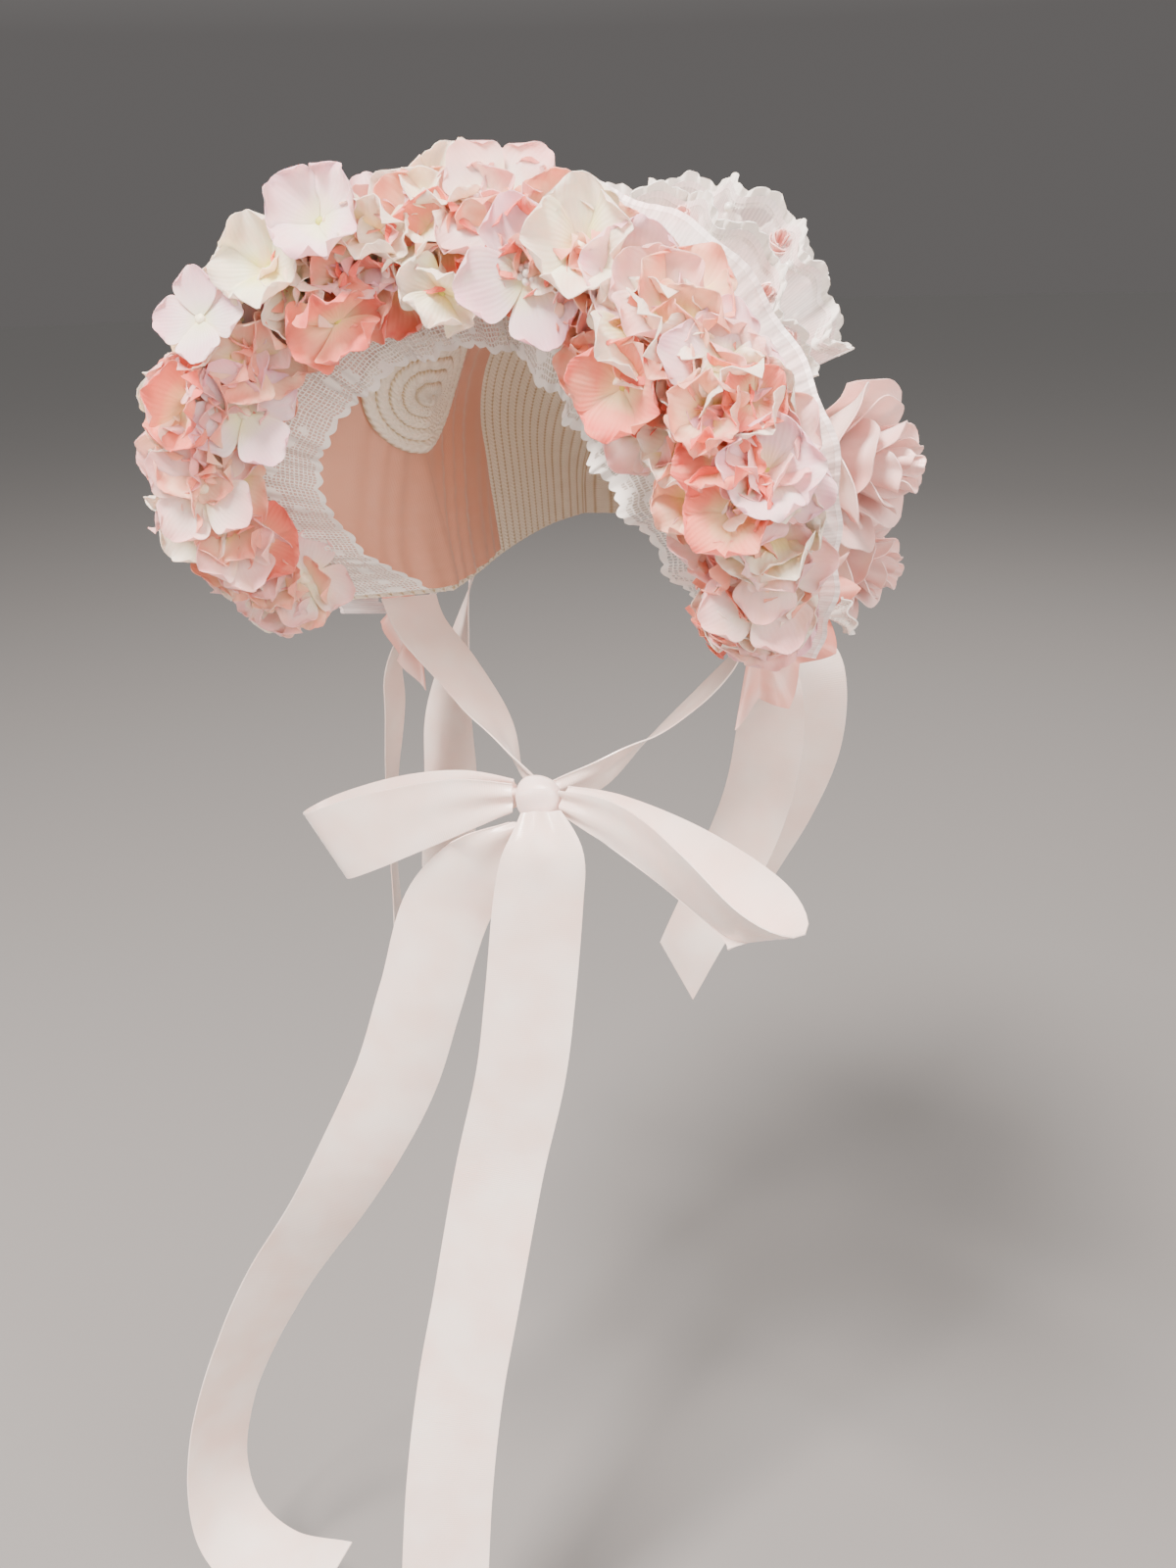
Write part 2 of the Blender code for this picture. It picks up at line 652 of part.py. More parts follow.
def make_fan(side):
    # satin folded in points, gathered on the back of the brim's lower end
    mirror = Vector((side, 1, 1))
    place, _, normal = brim_frame(side * FAN_ALONG, FAN_PLACE)
    centre = place + normal * (FELT + 1.0)
    down = (Vector(FAN_DOWN) * mirror).normalized()
    outward = (Vector(FAN_OUTWARD) * mirror).normalized()
    facing = down.cross(outward).normalized()
    points = []
    for level in (0.0, 0.5, 1.0):
        for number, spoke in enumerate(FAN_SPOKES):
            swing = math.radians(spoke.swing)
            way = down * math.cos(swing) + outward * math.sin(swing)
            pleat = FAN_PLEAT * (0.12 + level) * (-1) ** number
            reach = FAN_ROOT + level * (spoke.length - FAN_ROOT)
            points.append(centre + way * reach + facing * pleat)
    name = "satin_fan_left" if side > 0 else "satin_fan_right"
    faces = grid_faces(3, len(FAN_SPOKES), flip=side > 0)
    give_wall(mesh_object(name, points, faces, "rose_satin"), CLOTH, 0)


def inner_wall(along, depth, inset):
    # inside of the bonnet: depth is towards the face, and inset away from the wall
    brim_point, _, brim_normal = brim_frame(along, max(depth, 0) / brim_width(along))
    section = max(-depth, 0) / SECTION_DEPTH
    crown_point, crown_normal, _ = crown_frame(section, along)
    blend = min(max(0.5 + depth / SEAM_BLEND, 0), 1)
    normal = crown_normal.lerp(brim_normal, blend).normalized()
    return (brim_point if depth > 0 else crown_point) - normal * inset


def make_braid_round(sides=12):
    rings = []
    for row in range(ROUND_ROWS):
        outer = ROUND_RADIUS * (1 - row / ROUND_ROWS)
        inner = ROUND_RADIUS * (1 - (row + 0.75) / ROUND_ROWS)
        height = ROUND_BASE + ROUND_STEP * row
        rings.append((outer, height))
        rings.append((inner, height + ROUND_LIFT))
    profile = [(rings[0][0], 0.0)] + rings

    def place(radius, angle, height):
        along = ROUND_ALONG + radius * math.cos(angle) / CROWN_FRONT.half
        return inner_wall(along, radius * math.sin(angle), ROUND_INSET + height)

    points = []
    for radius in (ROUND_RADIUS / 3, ROUND_RADIUS * 2 / 3):
        points += [place(radius, math.tau * side / sides, 0) for side in range(sides)]
    for radius, height in profile:
        points += [place(radius, math.tau * side / sides, height) for side in range(sides)]
    points.append(place(0, 0, 0))
    points.append(place(0, 0, rings[-1][1] + ROUND_LIFT))
    mesh_object("braid_round", points, ring_faces(len(profile) + 2, sides), "ivory_braid")


def ribbon_path(rows, steps):
    # even steps along a smooth line through the rows
    fine = [smooth_row(rows, place * (len(rows) - 1) / 200) for place in range(201)]
    lengths = [0]
    for a, b in zip(fine, fine[1:]):
        lengths.append(lengths[-1] + (Vector(b[:3]) - Vector(a[:3])).length)
    picked = []
    for step in range(steps + 1):
        target = lengths[-1] * step / steps
        index = min(range(len(fine)), key=lambda place: abs(lengths[place] - target))
        picked.append(RibbonPoint(*fine[index]))
    return picked


def ribbon_edges(ribbon, start_across):
    # the ribbon keeps facing the same way along its path, apart from its own turn
    path = ribbon_path(ribbon.rows, ribbon.steps)
    middles = [Vector((row.x, row.y, row.z)) for row in path]
    tangents = []
    for index in range(len(middles)):
        before = middles[max(index - 1, 0)]
        after = middles[min(index + 1, len(middles) - 1)]
        tangents.append((after - before).normalized())
    across = start_across - tangents[0] * start_across.dot(tangents[0])
    across.normalize()
    edges = []
    for index, row in enumerate(path):
        if index:
            across = tangents[index - 1].rotation_difference(tangents[index]) @ across
        turned = Quaternion(tangents[index], math.radians(row.turn)) @ across
        half = turned * row.width / 2
        slant = Vector()
        if index == 0:
            slope = start_across.dot(tangents[0]) / start_across.cross(tangents[0]).length
            slant = tangents[0] * slope * row.width / 2
        if index == len(path) - 1:
            slant = tangents[index] * ribbon.cut / 2
        edges.append((middles[index] - half - slant, middles[index] + half + slant))
    return edges


def make_ribbon(ribbon, start_across=FACE_ON):
    points = [point for pair in ribbon_edges(ribbon, start_across) for point in pair]
    faces = grid_faces(ribbon.steps + 1, 2)
    give_wall(mesh_object(ribbon.name, points, faces, ribbon.colour), CLOTH, 0)


def make_knot(sides=12):
    # a soft rounded turn of ribbon with creases
    centre = Vector(KNOT_CENTRE)
    size = Vector(KNOT_SIZE)
    points = []
    for ring in range(1, KNOT_RINGS + 1):
        polar = math.pi * ring / (KNOT_RINGS + 1)
        for side in range(sides):
            angle = math.tau * side / sides
            swell = math.sin(polar) ** 0.7 * (1 + KNOT_CREASE * math.cos(4 * angle))
            shape = Vector((math.cos(polar), swell * math.cos(angle), swell * math.sin(angle)))
            points.append(centre + shape * size)
    points.append(centre + Vector((KNOT_SIZE[0], 0, 0)))
    points.append(centre - Vector((KNOT_SIZE[0], 0, 0)))
    made = mesh_object("bow_knot", points, ring_faces(KNOT_RINGS, sides), "pale_satin")
    made.data.flip_normals()
    made.data.shade_smooth()


def sewn_end(side, end):
    # first row of a ribbon, with the way that its top edge runs
    if end.wall == "crown":
        point, normal, across = crown_frame(end.place, side * SEWN_ALONG)
        point += normal * (FELT + 0.6 + CLOTH / 2)
    else:
        point, across, normal = brim_frame(side, end.place)
        point += normal * FELT / 2 + BRIM_OUTER.tangent(side) * side * 1.2
    return RibbonPoint(*point, end.width, 0), across


def sewn_ribbon(name, side, end, rows, steps, cut):
    first, across = sewn_end(side, end)
    make_ribbon(Ribbon(name, [first] + rows, steps, cut, "pale_satin"), across)


def make_ribbons():
    upright = Vector((0, 0, 1))
    sewn_ribbon("chin_tie_left", 1, TIE_END, TIE_LEFT, 14, 0)
    sewn_ribbon("chin_tie_right", -1, TIE_END, TIE_RIGHT, 14, 0)
    make_ribbon(Ribbon("bow_loop_left", LOOP_LEFT, 20, 0, "pale_satin"), upright)
    make_ribbon(Ribbon("bow_loop_right", LOOP_RIGHT, 20, 0, "pale_satin"), upright)
    make_ribbon(Ribbon("tail_left", TAIL_LEFT, 22, 0, "pale_satin"))
    make_ribbon(Ribbon("tail_right", TAIL_RIGHT, 28, 8, "pale_satin"))
    sewn_ribbon("streamer_left_inner", 1, STREAMER_END, STREAMER_LEFT_INNER, 10, 16)
    sewn_ribbon("streamer_left_outer", 1, OUTER_STREAMER_END, STREAMER_LEFT_OUTER, 10, 12)
    sewn_ribbon("streamer_right_front", -1, STREAMER_END, STREAMER_RIGHT_FRONT, 11, 10)
    sewn_ribbon("streamer_right_back", -1, OUTER_STREAMER_END, STREAMER_RIGHT_BACK, 10, 12)


def build():
    clear_scene()
    make_crown()
    make_crown_lining()
    brim_sheet("brim", 0, 1, BRIM_ROWS, 0, FELT, "ivory_braid")
    brim_sheet("brim_lining", 0.04, 0.8, 3, -SEW_GAP - CLOTH, CLOTH, "pink_satin", 0.02)
    make_frill()
    make_lace()
    for row in RUFFLES:
        make_ruffle(row)
    make_braid_round()
    shuffle = random.Random(SHUFFLE_SEED)
    colours = ("petal_pink", "petal_coral", "petal_cream")
    for index in range(CLUSTER_COUNT):
        make_cluster(index, colours[index % len(colours)], shuffle)
    for side in (-1, 1):
        for rose in ROSES:
            make_rose(rose, side)
        make_fan(side)
    make_knot()
    make_ribbons()


build()
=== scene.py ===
# Lolita bonnet: the looks of every piece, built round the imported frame.
# Tables are in millimetres in the frame's own axes: +X the wearer's left, +Y the back of the
# head, +Z up, and the origin on top of the head inside the crown.

import math
import random
from bisect import bisect_left
from collections import namedtuple
from functools import lru_cache

import bpy
from mathutils import Matrix, Quaternion, Vector


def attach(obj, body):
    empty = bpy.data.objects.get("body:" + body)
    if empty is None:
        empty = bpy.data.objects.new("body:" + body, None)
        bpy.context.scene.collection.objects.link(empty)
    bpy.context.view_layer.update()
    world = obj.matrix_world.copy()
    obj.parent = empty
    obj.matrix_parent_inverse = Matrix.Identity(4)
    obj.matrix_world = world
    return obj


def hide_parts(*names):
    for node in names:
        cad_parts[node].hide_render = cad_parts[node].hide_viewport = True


mm = 0.001
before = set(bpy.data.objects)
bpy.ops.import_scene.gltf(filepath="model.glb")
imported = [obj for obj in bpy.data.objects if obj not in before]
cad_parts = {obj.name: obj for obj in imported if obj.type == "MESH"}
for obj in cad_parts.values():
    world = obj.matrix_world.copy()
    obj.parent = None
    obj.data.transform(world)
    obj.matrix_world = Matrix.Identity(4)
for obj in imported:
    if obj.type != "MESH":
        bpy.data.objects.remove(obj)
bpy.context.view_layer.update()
print("frame loaded,", len(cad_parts), "nodes")


# camera: where the photograph was taken from
camera = {
    "turn": 25.2,        # degrees towards the wearer's left
    "height": 21.9,      # degrees above the horizon
    "roll": -1.8,
    "aside": 4.7,
    "lift": 231.8,
    "distance": 624,
    "lens": 31.5,
    "sensor": 36,
}


def placeCamera():
    turn = math.radians(camera["turn"])
    height = math.radians(camera["height"])
    roll = math.radians(camera["roll"])
    back = Vector((math.sin(turn) * math.cos(height), -math.cos(turn) * math.cos(height),
                   math.sin(height)))
    level = Vector((math.cos(turn), math.sin(turn), 0))
    rise = back.cross(level)
    right = math.cos(roll) * level + math.sin(roll) * rise
    up = -math.sin(roll) * level + math.cos(roll) * rise
    eye = (back * camera["distance"] - right * camera["aside"] - up * camera["lift"]) * mm
    lens = bpy.data.cameras.new("camera")
    lens.sensor_fit = "VERTICAL"
    lens.sensor_height = camera["sensor"]
    lens.lens = camera["lens"]
    lens.clip_start = 0.01
    seat = bpy.data.objects.new("camera", lens)
    bpy.context.collection.objects.link(seat)
    seat.matrix_world = Matrix.Translation(eye) @ Matrix((right, up, back)).transposed().to_4x4()
    bpy.context.scene.camera = seat


placeCamera()


# curves of the crown and of the brim, which every piece is sewn to
CrownSection = namedtuple("CrownSection", "topY topZ halfWidth baseY baseZ")
EdgePoint = namedtuple("EdgePoint", "x y z")
FrillRow = namedtuple("FrillRow", "along reach lean wave")

crown = {
    "sections": [
        CrownSection(-60, -4, 80, -10, -150),
        CrownSection(-25, 1, 82, 18, -148),
        CrownSection(15, 3, 83, 46, -144),
        CrownSection(55, -5, 81, 74, -140),
        CrownSection(88, -25, 75, 96, -136),
        CrownSection(108, -56, 62, 110, -132),
    ],
    "felt": 2.0,
    "tipBulge": 12,
    "braidRidge": 0.5,
    "bodyShare": 0.8,    # the rest of the rows go round the tip
    "rows": 29,
    "braidLength": 500,
}
brim = {
    "edge": [
        EdgePoint(0, -108, 20),
        EdgePoint(58, -117, 7),
        EdgePoint(100, -128, -24),
        EdgePoint(124, -133, -64),
        EdgePoint(122, -115, -108),
        EdgePoint(105, -84, -140),
    ],
    "start": 1.4,
    "belly": 3.0,
    "rows": 11,
    "braidLength": 520,
}
braidSheet = {
    "columns": 110,
    "perRow": 5,
    "wall": 1.3,
}


def smoothRow(rows, position):
    # a soft curve through the rows of a table
    last = len(rows) - 1
    position = min(max(position, 0), last)
    index = min(int(position), last - 1)
    t = position - index
    around = [rows[min(max(index + step, 0), last)] for step in (-1, 0, 1, 2)]
    values = []
    for a, b, c, d in zip(*around):
        values.append(0.5 * (2 * b + (c - a) * t + (2 * a - 5 * b + 4 * c - d) * t * t
                             + (3 * b - a - 3 * c + d) * t * t * t))
    return values


def rowAlong(rows, along):
    along = min(max(along, rows[0].along), rows[-1].along)
    index = 0
    while index < len(rows) - 2 and rows[index + 1].along < along:
        index += 1
    span = rows[index + 1].along - rows[index].along
    return FrillRow(*smoothRow(rows, index + (along - rows[index].along) / span))


class Arch:
    # a curve over the head, read from -1 at the wearer's right end to +1 at the left
    def __init__(self, points):
        self.points = points
        self.lengths = [0]
        for a, b in zip(points, points[1:]):
            self.lengths.append(self.lengths[-1] + (b - a).length)
        self.half = self.lengths[-1] / 2

    def at(self, along):
        target = (along + 1) * self.half
        index = min(max(bisect_left(self.lengths, target) - 1, 0), len(self.points) - 2)
        start = self.points[index]
        step = self.points[index + 1] - start
        return start + step.normalized() * (target - self.lengths[index])

    def tangent(self, along):
        return (self.at(along + 0.02) - self.at(along - 0.02)).normalized()


def mirrored(half):
    return [Vector((-p.x, p.y, p.z)) for p in reversed(half[1:])] + half


@lru_cache(maxsize=None)
def crownArch(section):
    row = CrownSection(*smoothRow(crown["sections"], section))
    top = Vector((0, row.topY, row.topZ))
    base = Vector((0, row.baseY, row.baseZ))
    up = (top - base).normalized()
    rise = min(row.halfWidth, (top - base).length - 4)
    spring = (top - base).length - rise
    half = []
    for step in range(61):
        angle = math.radians(1.5 * step)
        half.append(base + up * (spring + rise * math.cos(angle))
                    + Vector((row.halfWidth * math.sin(angle), 0, 0)))
    half.append(base + Vector((row.halfWidth, 0, 0)))
    return Arch(mirrored(half))


def brimArch():
    steps = 16 * (len(brim["edge"]) - 1)
    half = [Vector(smoothRow(brim["edge"], step / 16)) for step in range(steps + 1)]
    return Arch(mirrored(half))


crownFront = crownArch(0.0)
brimOuter = brimArch()


@lru_cache(maxsize=None)
def crownFrame(section, along):
    # point on the crown's inner face, its outward normal and the way to the back
    point = crownArch(section).at(along)
    across = crownArch(section).tangent(along)
    low = max(section - 0.1, 0)
    back = (crownArch(low + 0.2).at(along) - crownArch(low).at(along)).normalized()
    return point, across.cross(back).normalized(), back


@lru_cache(maxsize=None)
def brimFrame(along, share):
    # point on the brim's face side, the way out to its edge, and its outward normal
    def flatPoint(place):
        inner = crownFront.at(place) + Vector((0, -brim["start"], 0))
        return inner.lerp(brimOuter.at(place), share), brimOuter.at(place) - inner
    point, outward = flatPoint(along)
    before = flatPoint(along - 0.02)[0]
    after = flatPoint(along + 0.02)[0]
    out = outward.normalized()
    normal = out.cross((after - before).normalized()).normalized()
    belly = brim["belly"] * math.sin(math.pi * min(max(share, 0), 1))
    return point - normal * belly, out, normal


def brimWidth(along):
    return (brimOuter.at(along) - crownFront.at(along)).length


def edgeFrame(along):
    # middle of the brim's edge, with the ways out and outside
    point, out, normal = brimFrame(along, 1.0)
    return point + normal * crown["felt"] / 2, out, normal


# small helpers for meshes
def deselectAll():
    if bpy.context.object and bpy.context.object.mode != "OBJECT":
        bpy.ops.object.mode_set(mode="OBJECT")
    bpy.ops.object.select_all(action="DESELECT")


def pick(thing):
    deselectAll()
    thing.select_set(True)
    bpy.context.view_layer.objects.active = thing


def makeSheet(name, columns, rows, place):
    # a grid of cloth whose points are set by place(u, v), both running from 0 to 1
    deselectAll()
    bpy.ops.mesh.primitive_grid_add(x_subdivisions=columns, y_subdivisions=rows, size=1)
    sheet = bpy.context.object
    sheet.name = name
    sheet.data.name = name
    for vertex in sheet.data.vertices:
        u = round(vertex.co.x + 0.5, 6)
        v = round(vertex.co.y + 0.5, 6)
        vertex.co = place(u, v) * mm
    return sheet


def giveWall(sheet, thickness, side=0):
    wall = sheet.modifiers.new("wall", "SOLIDIFY")
    wall.thickness = thickness * mm
    wall.offset = side
    pick(sheet)
    bpy.ops.object.modifier_apply(modifier="wall")
    return sheet


def smooth(piece, angle=50):
    pick(piece)
    bpy.ops.object.shade_smooth_by_angle(angle=math.radians(angle))
    return piece


def paint(piece, *materials):
    piece.data.materials.clear()
    for material in materials:
        piece.data.materials.append(material)
    return piece


def makeCloth(name, columns, rows, place, wall, material, angle=50):
    # a sheet with its wall, shaded smooth, in its material
    sheet = makeSheet(name, columns, rows, place)
    giveWall(sheet, wall)
    return paint(smooth(sheet, angle), material)


def copyOf(master, name, matrix):
    made = bpy.data.objects.new(name, master.data.copy())
    made.data.transform(matrix)
    bpy.context.collection.objects.link(made)
    return made


def joinAll(name, pieces):
    deselectAll()
    for piece in pieces:
        piece.select_set(True)
    bpy.context.view_layer.objects.active = pieces[0]
    bpy.ops.object.join()
    joined = bpy.context.object
    joined.name = name
    joined.data.name = name
    return joined


def putAway(piece):
    bpy.data.objects.remove(piece, do_unlink=True)


def finishPiece(piece, slotName, *nodes):
    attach(piece, "root")
    if nodes:
        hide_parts(*nodes)
    return piece


# materials
def hexColour(text):
    # sRGB hex to the linear values that shaders take
    values = []
    for start in (1, 3, 5):
        value = int(text[start:start + 2], 16) / 255
        values.append(value / 12.92 if value <= 0.04045 else ((value + 0.055) / 1.055) ** 2.4)
    return (*values, 1.0)


def addNode(material, kind, inputs=None, **settings):
    # one shader node with its settings; an input is a value or (node, output)
    tree = material.node_tree
    made = tree.nodes.new("ShaderNode" + kind)
    for name, value in settings.items():
        setattr(made, name, value)
    for socket, value in (inputs or {}).items():
        if isinstance(value, tuple) and isinstance(value[0], bpy.types.Node):
            tree.links.new(value[0].outputs[value[1]], made.inputs[socket])
        else:
            made.inputs[socket].default_value = value
    return made


def newMaterial(name, **sockets):
    material = bpy.data.materials.new(name)
    material.use_nodes = True
    shader = material.node_tree.nodes["Principled BSDF"]
    for socket, value in sockets.items():
        shader.inputs[socket.replace("_", " ")].default_value = value
    return material, shader


def feed(material, shader, socket, source, output):
    material.node_tree.links.new(source.outputs[output], shader.inputs[socket])


def ramp(node, *stops):
    # colour ramp stops as (place, colour)
    band = node.color_ramp
    while len(band.elements) < len(stops):
        band.elements.new(1.0)
    for element, (place, colour) in zip(band.elements, stops):
        element.position = place
        element.color = colour
    return node


def clothCoords(material, width, length):
    # the piece's own UV map, scaled to millimetres of cloth
    coords = addNode(material, "TexCoord")
    return addNode(material, "Mapping", {"Vector": (coords, "UV"), "Scale": (width, length, 1)})


def petalMaterial(name, heart, middle, tip, blotch, veinDepth=0.12):
    # pressed polyester petal, dyed from a pale heart to a deeper edge: matt, lets light through
    material, shader = newMaterial(name, Roughness=0.6, Sheen_Weight=0.3, Sheen_Roughness=0.5,
                                   Specular_IOR_Level=0.35, Subsurface_Weight=0.45,
                                   Subsurface_Radius=(1.0, 0.5, 0.4), Subsurface_Scale=0.004)
    coords = addNode(material, "TexCoord")
    patch = addNode(material, "TexNoise",
                    {"Vector": (coords, "Object"), "Scale": 1 / (24 * mm), "Detail": 2.0})
    parts = addNode(material, "SeparateXYZ", {"Vector": (coords, "UV")})
    shift = addNode(material, "Math", {0: (patch, "Fac"), 1: 0.8, 2: -0.4},
                    operation="MULTIPLY_ADD")
    along = addNode(material, "Math", {0: (parts, "Y"), 1: (shift, 0)}, operation="ADD",
                    use_clamp=True)
    colours = ramp(addNode(material, "ValToRGB", {"Fac": (along, 0)}), (0.08, hexColour(heart)),
                   (0.42, hexColour(middle)), (0.92, hexColour(tip)))
    spots = addNode(material, "TexNoise",
                    {"Vector": (coords, "Object"), "Scale": 1 / (14 * mm), "Detail": 2.0,
                     "Distortion": 0.6})
    spotShare = ramp(addNode(material, "ValToRGB", {"Fac": (spots, "Fac")}), (0.5, (0, 0, 0, 1)),
                     (0.72, (0.6, 0.6, 0.6, 1)))
    mixed = addNode(material, "Mix", data_type="RGBA")
    links = material.node_tree.links
    links.new(spotShare.outputs["Color"], mixed.inputs[0])
    links.new(colours.outputs["Color"], mixed.inputs[6])
    mixed.inputs[7].default_value = hexColour(blotch)
    feed(material, shader, "Base Color", mixed, 2)
    # pressed veins 2 mm apart run from the heart to the rim
    veins = addNode(material, "TexWave",
                    {"Vector": (coords, "UV"), "Scale": 4.2, "Distortion": 2.0, "Detail": 2.0},
                    bands_direction="X")
    bump = addNode(material, "Bump",
                   {"Height": (veins, "Fac"), "Strength": veinDepth, "Distance": 0.0005})
    feed(material, shader, "Normal", bump, "Normal")
    return material


def satinMaterial(name, colour, shade, width, length, gloss=0.34):
    # woven polyester satin: a soft streaky shine across the ribbon, fine weft lines
    material, shader = newMaterial(name, Roughness=gloss, Sheen_Weight=0.4,
                                   Sheen_Roughness=0.35, Anisotropic=0.4,
                                   Specular_IOR_Level=0.75, Subsurface_Weight=0.25,
                                   Subsurface_Radius=(1.0, 0.6, 0.5), Subsurface_Scale=0.003)
    cloth = clothCoords(material, width, length)
    mottle = addNode(material, "TexNoise",
                     {"Vector": (cloth, "Vector"), "Scale": 0.03, "Detail": 2.0})
    colours = ramp(addNode(material, "ValToRGB", {"Fac": (mottle, "Fac")}),
                   (0.3, hexColour(shade)), (0.65, hexColour(colour)))
    feed(material, shader, "Base Color", colours, "Color")
    # weft threads are 0.2 mm apart, drawn at 1 mm so that they show; a wave at scale 1
    # repeats every 0.31 units
    weft = addNode(material, "TexWave",
                   {"Vector": (cloth, "Vector"), "Scale": 0.31, "Distortion": 0.4},
                   bands_direction="Y")
    # the selvage is a raised cord 1.5 mm wide along both edges
    parts = addNode(material, "SeparateXYZ", {"Vector": (cloth, "Vector")})
    fromMiddle = addNode(material, "Math", {0: (parts, "X"), 1: width / 2}, operation="SUBTRACT")
    toEdge = addNode(material, "Math", {0: (fromMiddle, 0)}, operation="ABSOLUTE")
    selvage = addNode(material, "Math", {0: (toEdge, 0), 1: width / 2 - 1.5},
                      operation="GREATER_THAN")
    relief = addNode(material, "Math", {0: (weft, "Fac"), 1: 0.35, 2: (selvage, 0)},
                     operation="MULTIPLY_ADD")
    bump = addNode(material, "Bump", {"Height": (relief, 0), "Strength": 0.3, "Distance": 0.0003})
    feed(material, shader, "Normal", bump, "Normal")
    return material


def braidMaterial(name, length, rows):
    # sewn hemp braid: ivory and matt, each row plaited in chevrons with a sunk seam beside it
    material, shader = newMaterial(name, Roughness=0.68, Sheen_Weight=0.2)
    coords = addNode(material, "TexCoord")
    parts = addNode(material, "SeparateXYZ", {"Vector": (coords, "UV")})
    # plaits are 2 mm apart, drawn at 2.6 mm so that they show
    plaits = addNode(material, "Math", {0: (parts, "X"), 1: length / 2.6}, operation="MULTIPLY")
    rowPlace = addNode(material, "Math", {0: (parts, "Y"), 1: rows}, operation="MULTIPLY")
    inRow = addNode(material, "Math", {0: (rowPlace, 0)}, operation="FRACT")
    fromMiddle = addNode(material, "Math", {0: (inRow, 0), 1: 0.5}, operation="SUBTRACT")
    slant = addNode(material, "Math", {0: (fromMiddle, 0)}, operation="ABSOLUTE")
    phase = addNode(material, "Math", {0: (slant, 0), 1: 2.2, 2: (plaits, 0)},
                    operation="MULTIPLY_ADD")
    turnPhase = addNode(material, "Math", {0: (phase, 0), 1: math.tau}, operation="MULTIPLY")
    strand = addNode(material, "Math", {0: (turnPhase, 0)}, operation="SINE")
    seam = ramp(addNode(material, "ValToRGB", {"Fac": (slant, 0)}), (0.32, (1, 1, 1, 1)),
                (0.5, (0, 0, 0, 1)))
    height = addNode(material, "Math", {0: (strand, 0), 1: 0.3, 2: (seam, "Color")},
                     operation="MULTIPLY_ADD")
    tone = addNode(material, "TexNoise",
                   {"Vector": (coords, "Object"), "Scale": 1 / (9 * mm), "Detail": 3.0})
    mixed = addNode(material, "Math", {0: (tone, "Fac"), 1: 0.5, 2: (height, 0)},
                    operation="MULTIPLY_ADD")
    # the colour follows the relief's height as well as a random tone: darker in the plait troughs
    # and along the sunk seams, which is painted shade in these hollows
    colours = ramp(addNode(material, "ValToRGB", {"Fac": (mixed, 0)}),
                   (0.25, hexColour("#C9B48C")), (0.75, hexColour("#EADCBF")),
                   (1.0, hexColour("#F7EFDC")))
    feed(material, shader, "Base Color", colours, "Color")
    bump = addNode(material, "Bump", {"Height": (height, 0), "Strength": 0.7, "Distance": 0.0008})
    feed(material, shader, "Normal", bump, "Normal")
    return material


def organzaMaterial(name, alpha, width, length):
    # polyester organza: sheer and crisp, with fine gathered ribs and a stitched hem at its edge
    material, shader = newMaterial(name, Roughness=0.4, Sheen_Weight=0.7, Sheen_Roughness=0.3,
                                   Specular_IOR_Level=0.5)
    cloth = clothCoords(material, width, length)
    tint = addNode(material, "TexNoise",
                   {"Vector": (cloth, "Vector"), "Scale": 0.03, "Detail": 2.0})
    colours = ramp(addNode(material, "ValToRGB", {"Fac": (tint, "Fac")}),
                   (0.35, hexColour("#FBE0DE")), (0.62, hexColour("#FAF4F4")))
    feed(material, shader, "Base Color", colours, "Color")
    coords = addNode(material, "TexCoord")
    parts = addNode(material, "SeparateXYZ", {"Vector": (coords, "UV")})
    # ribs of the gathering are about 2 mm apart, which is scale 0.155
    ribs = addNode(material, "TexWave",
                   {"Vector": (cloth, "Vector"), "Scale": 0.155, "Distortion": 2.6,
                    "Detail": 1.0}, bands_direction="X")
    cover = addNode(material, "Math", {0: (ribs, "Fac"), 1: 0.14, 2: alpha},
                    operation="MULTIPLY_ADD")
    hem = addNode(material, "Math", {0: (parts, "Y"), 1: 0.93}, operation="GREATER_THAN")
    firm = addNode(material, "Math", {0: (hem, 0), 1: 0.45, 2: (cover, 0)},
                   operation="MULTIPLY_ADD", use_clamp=True)
    feed(material, shader, "Alpha", firm, 0)
    bump = addNode(material, "Bump",
                   {"Height": (ribs, "Fac"), "Strength": 0.16, "Distance": 0.0006})
    feed(material, shader, "Normal", bump, "Normal")
    return material


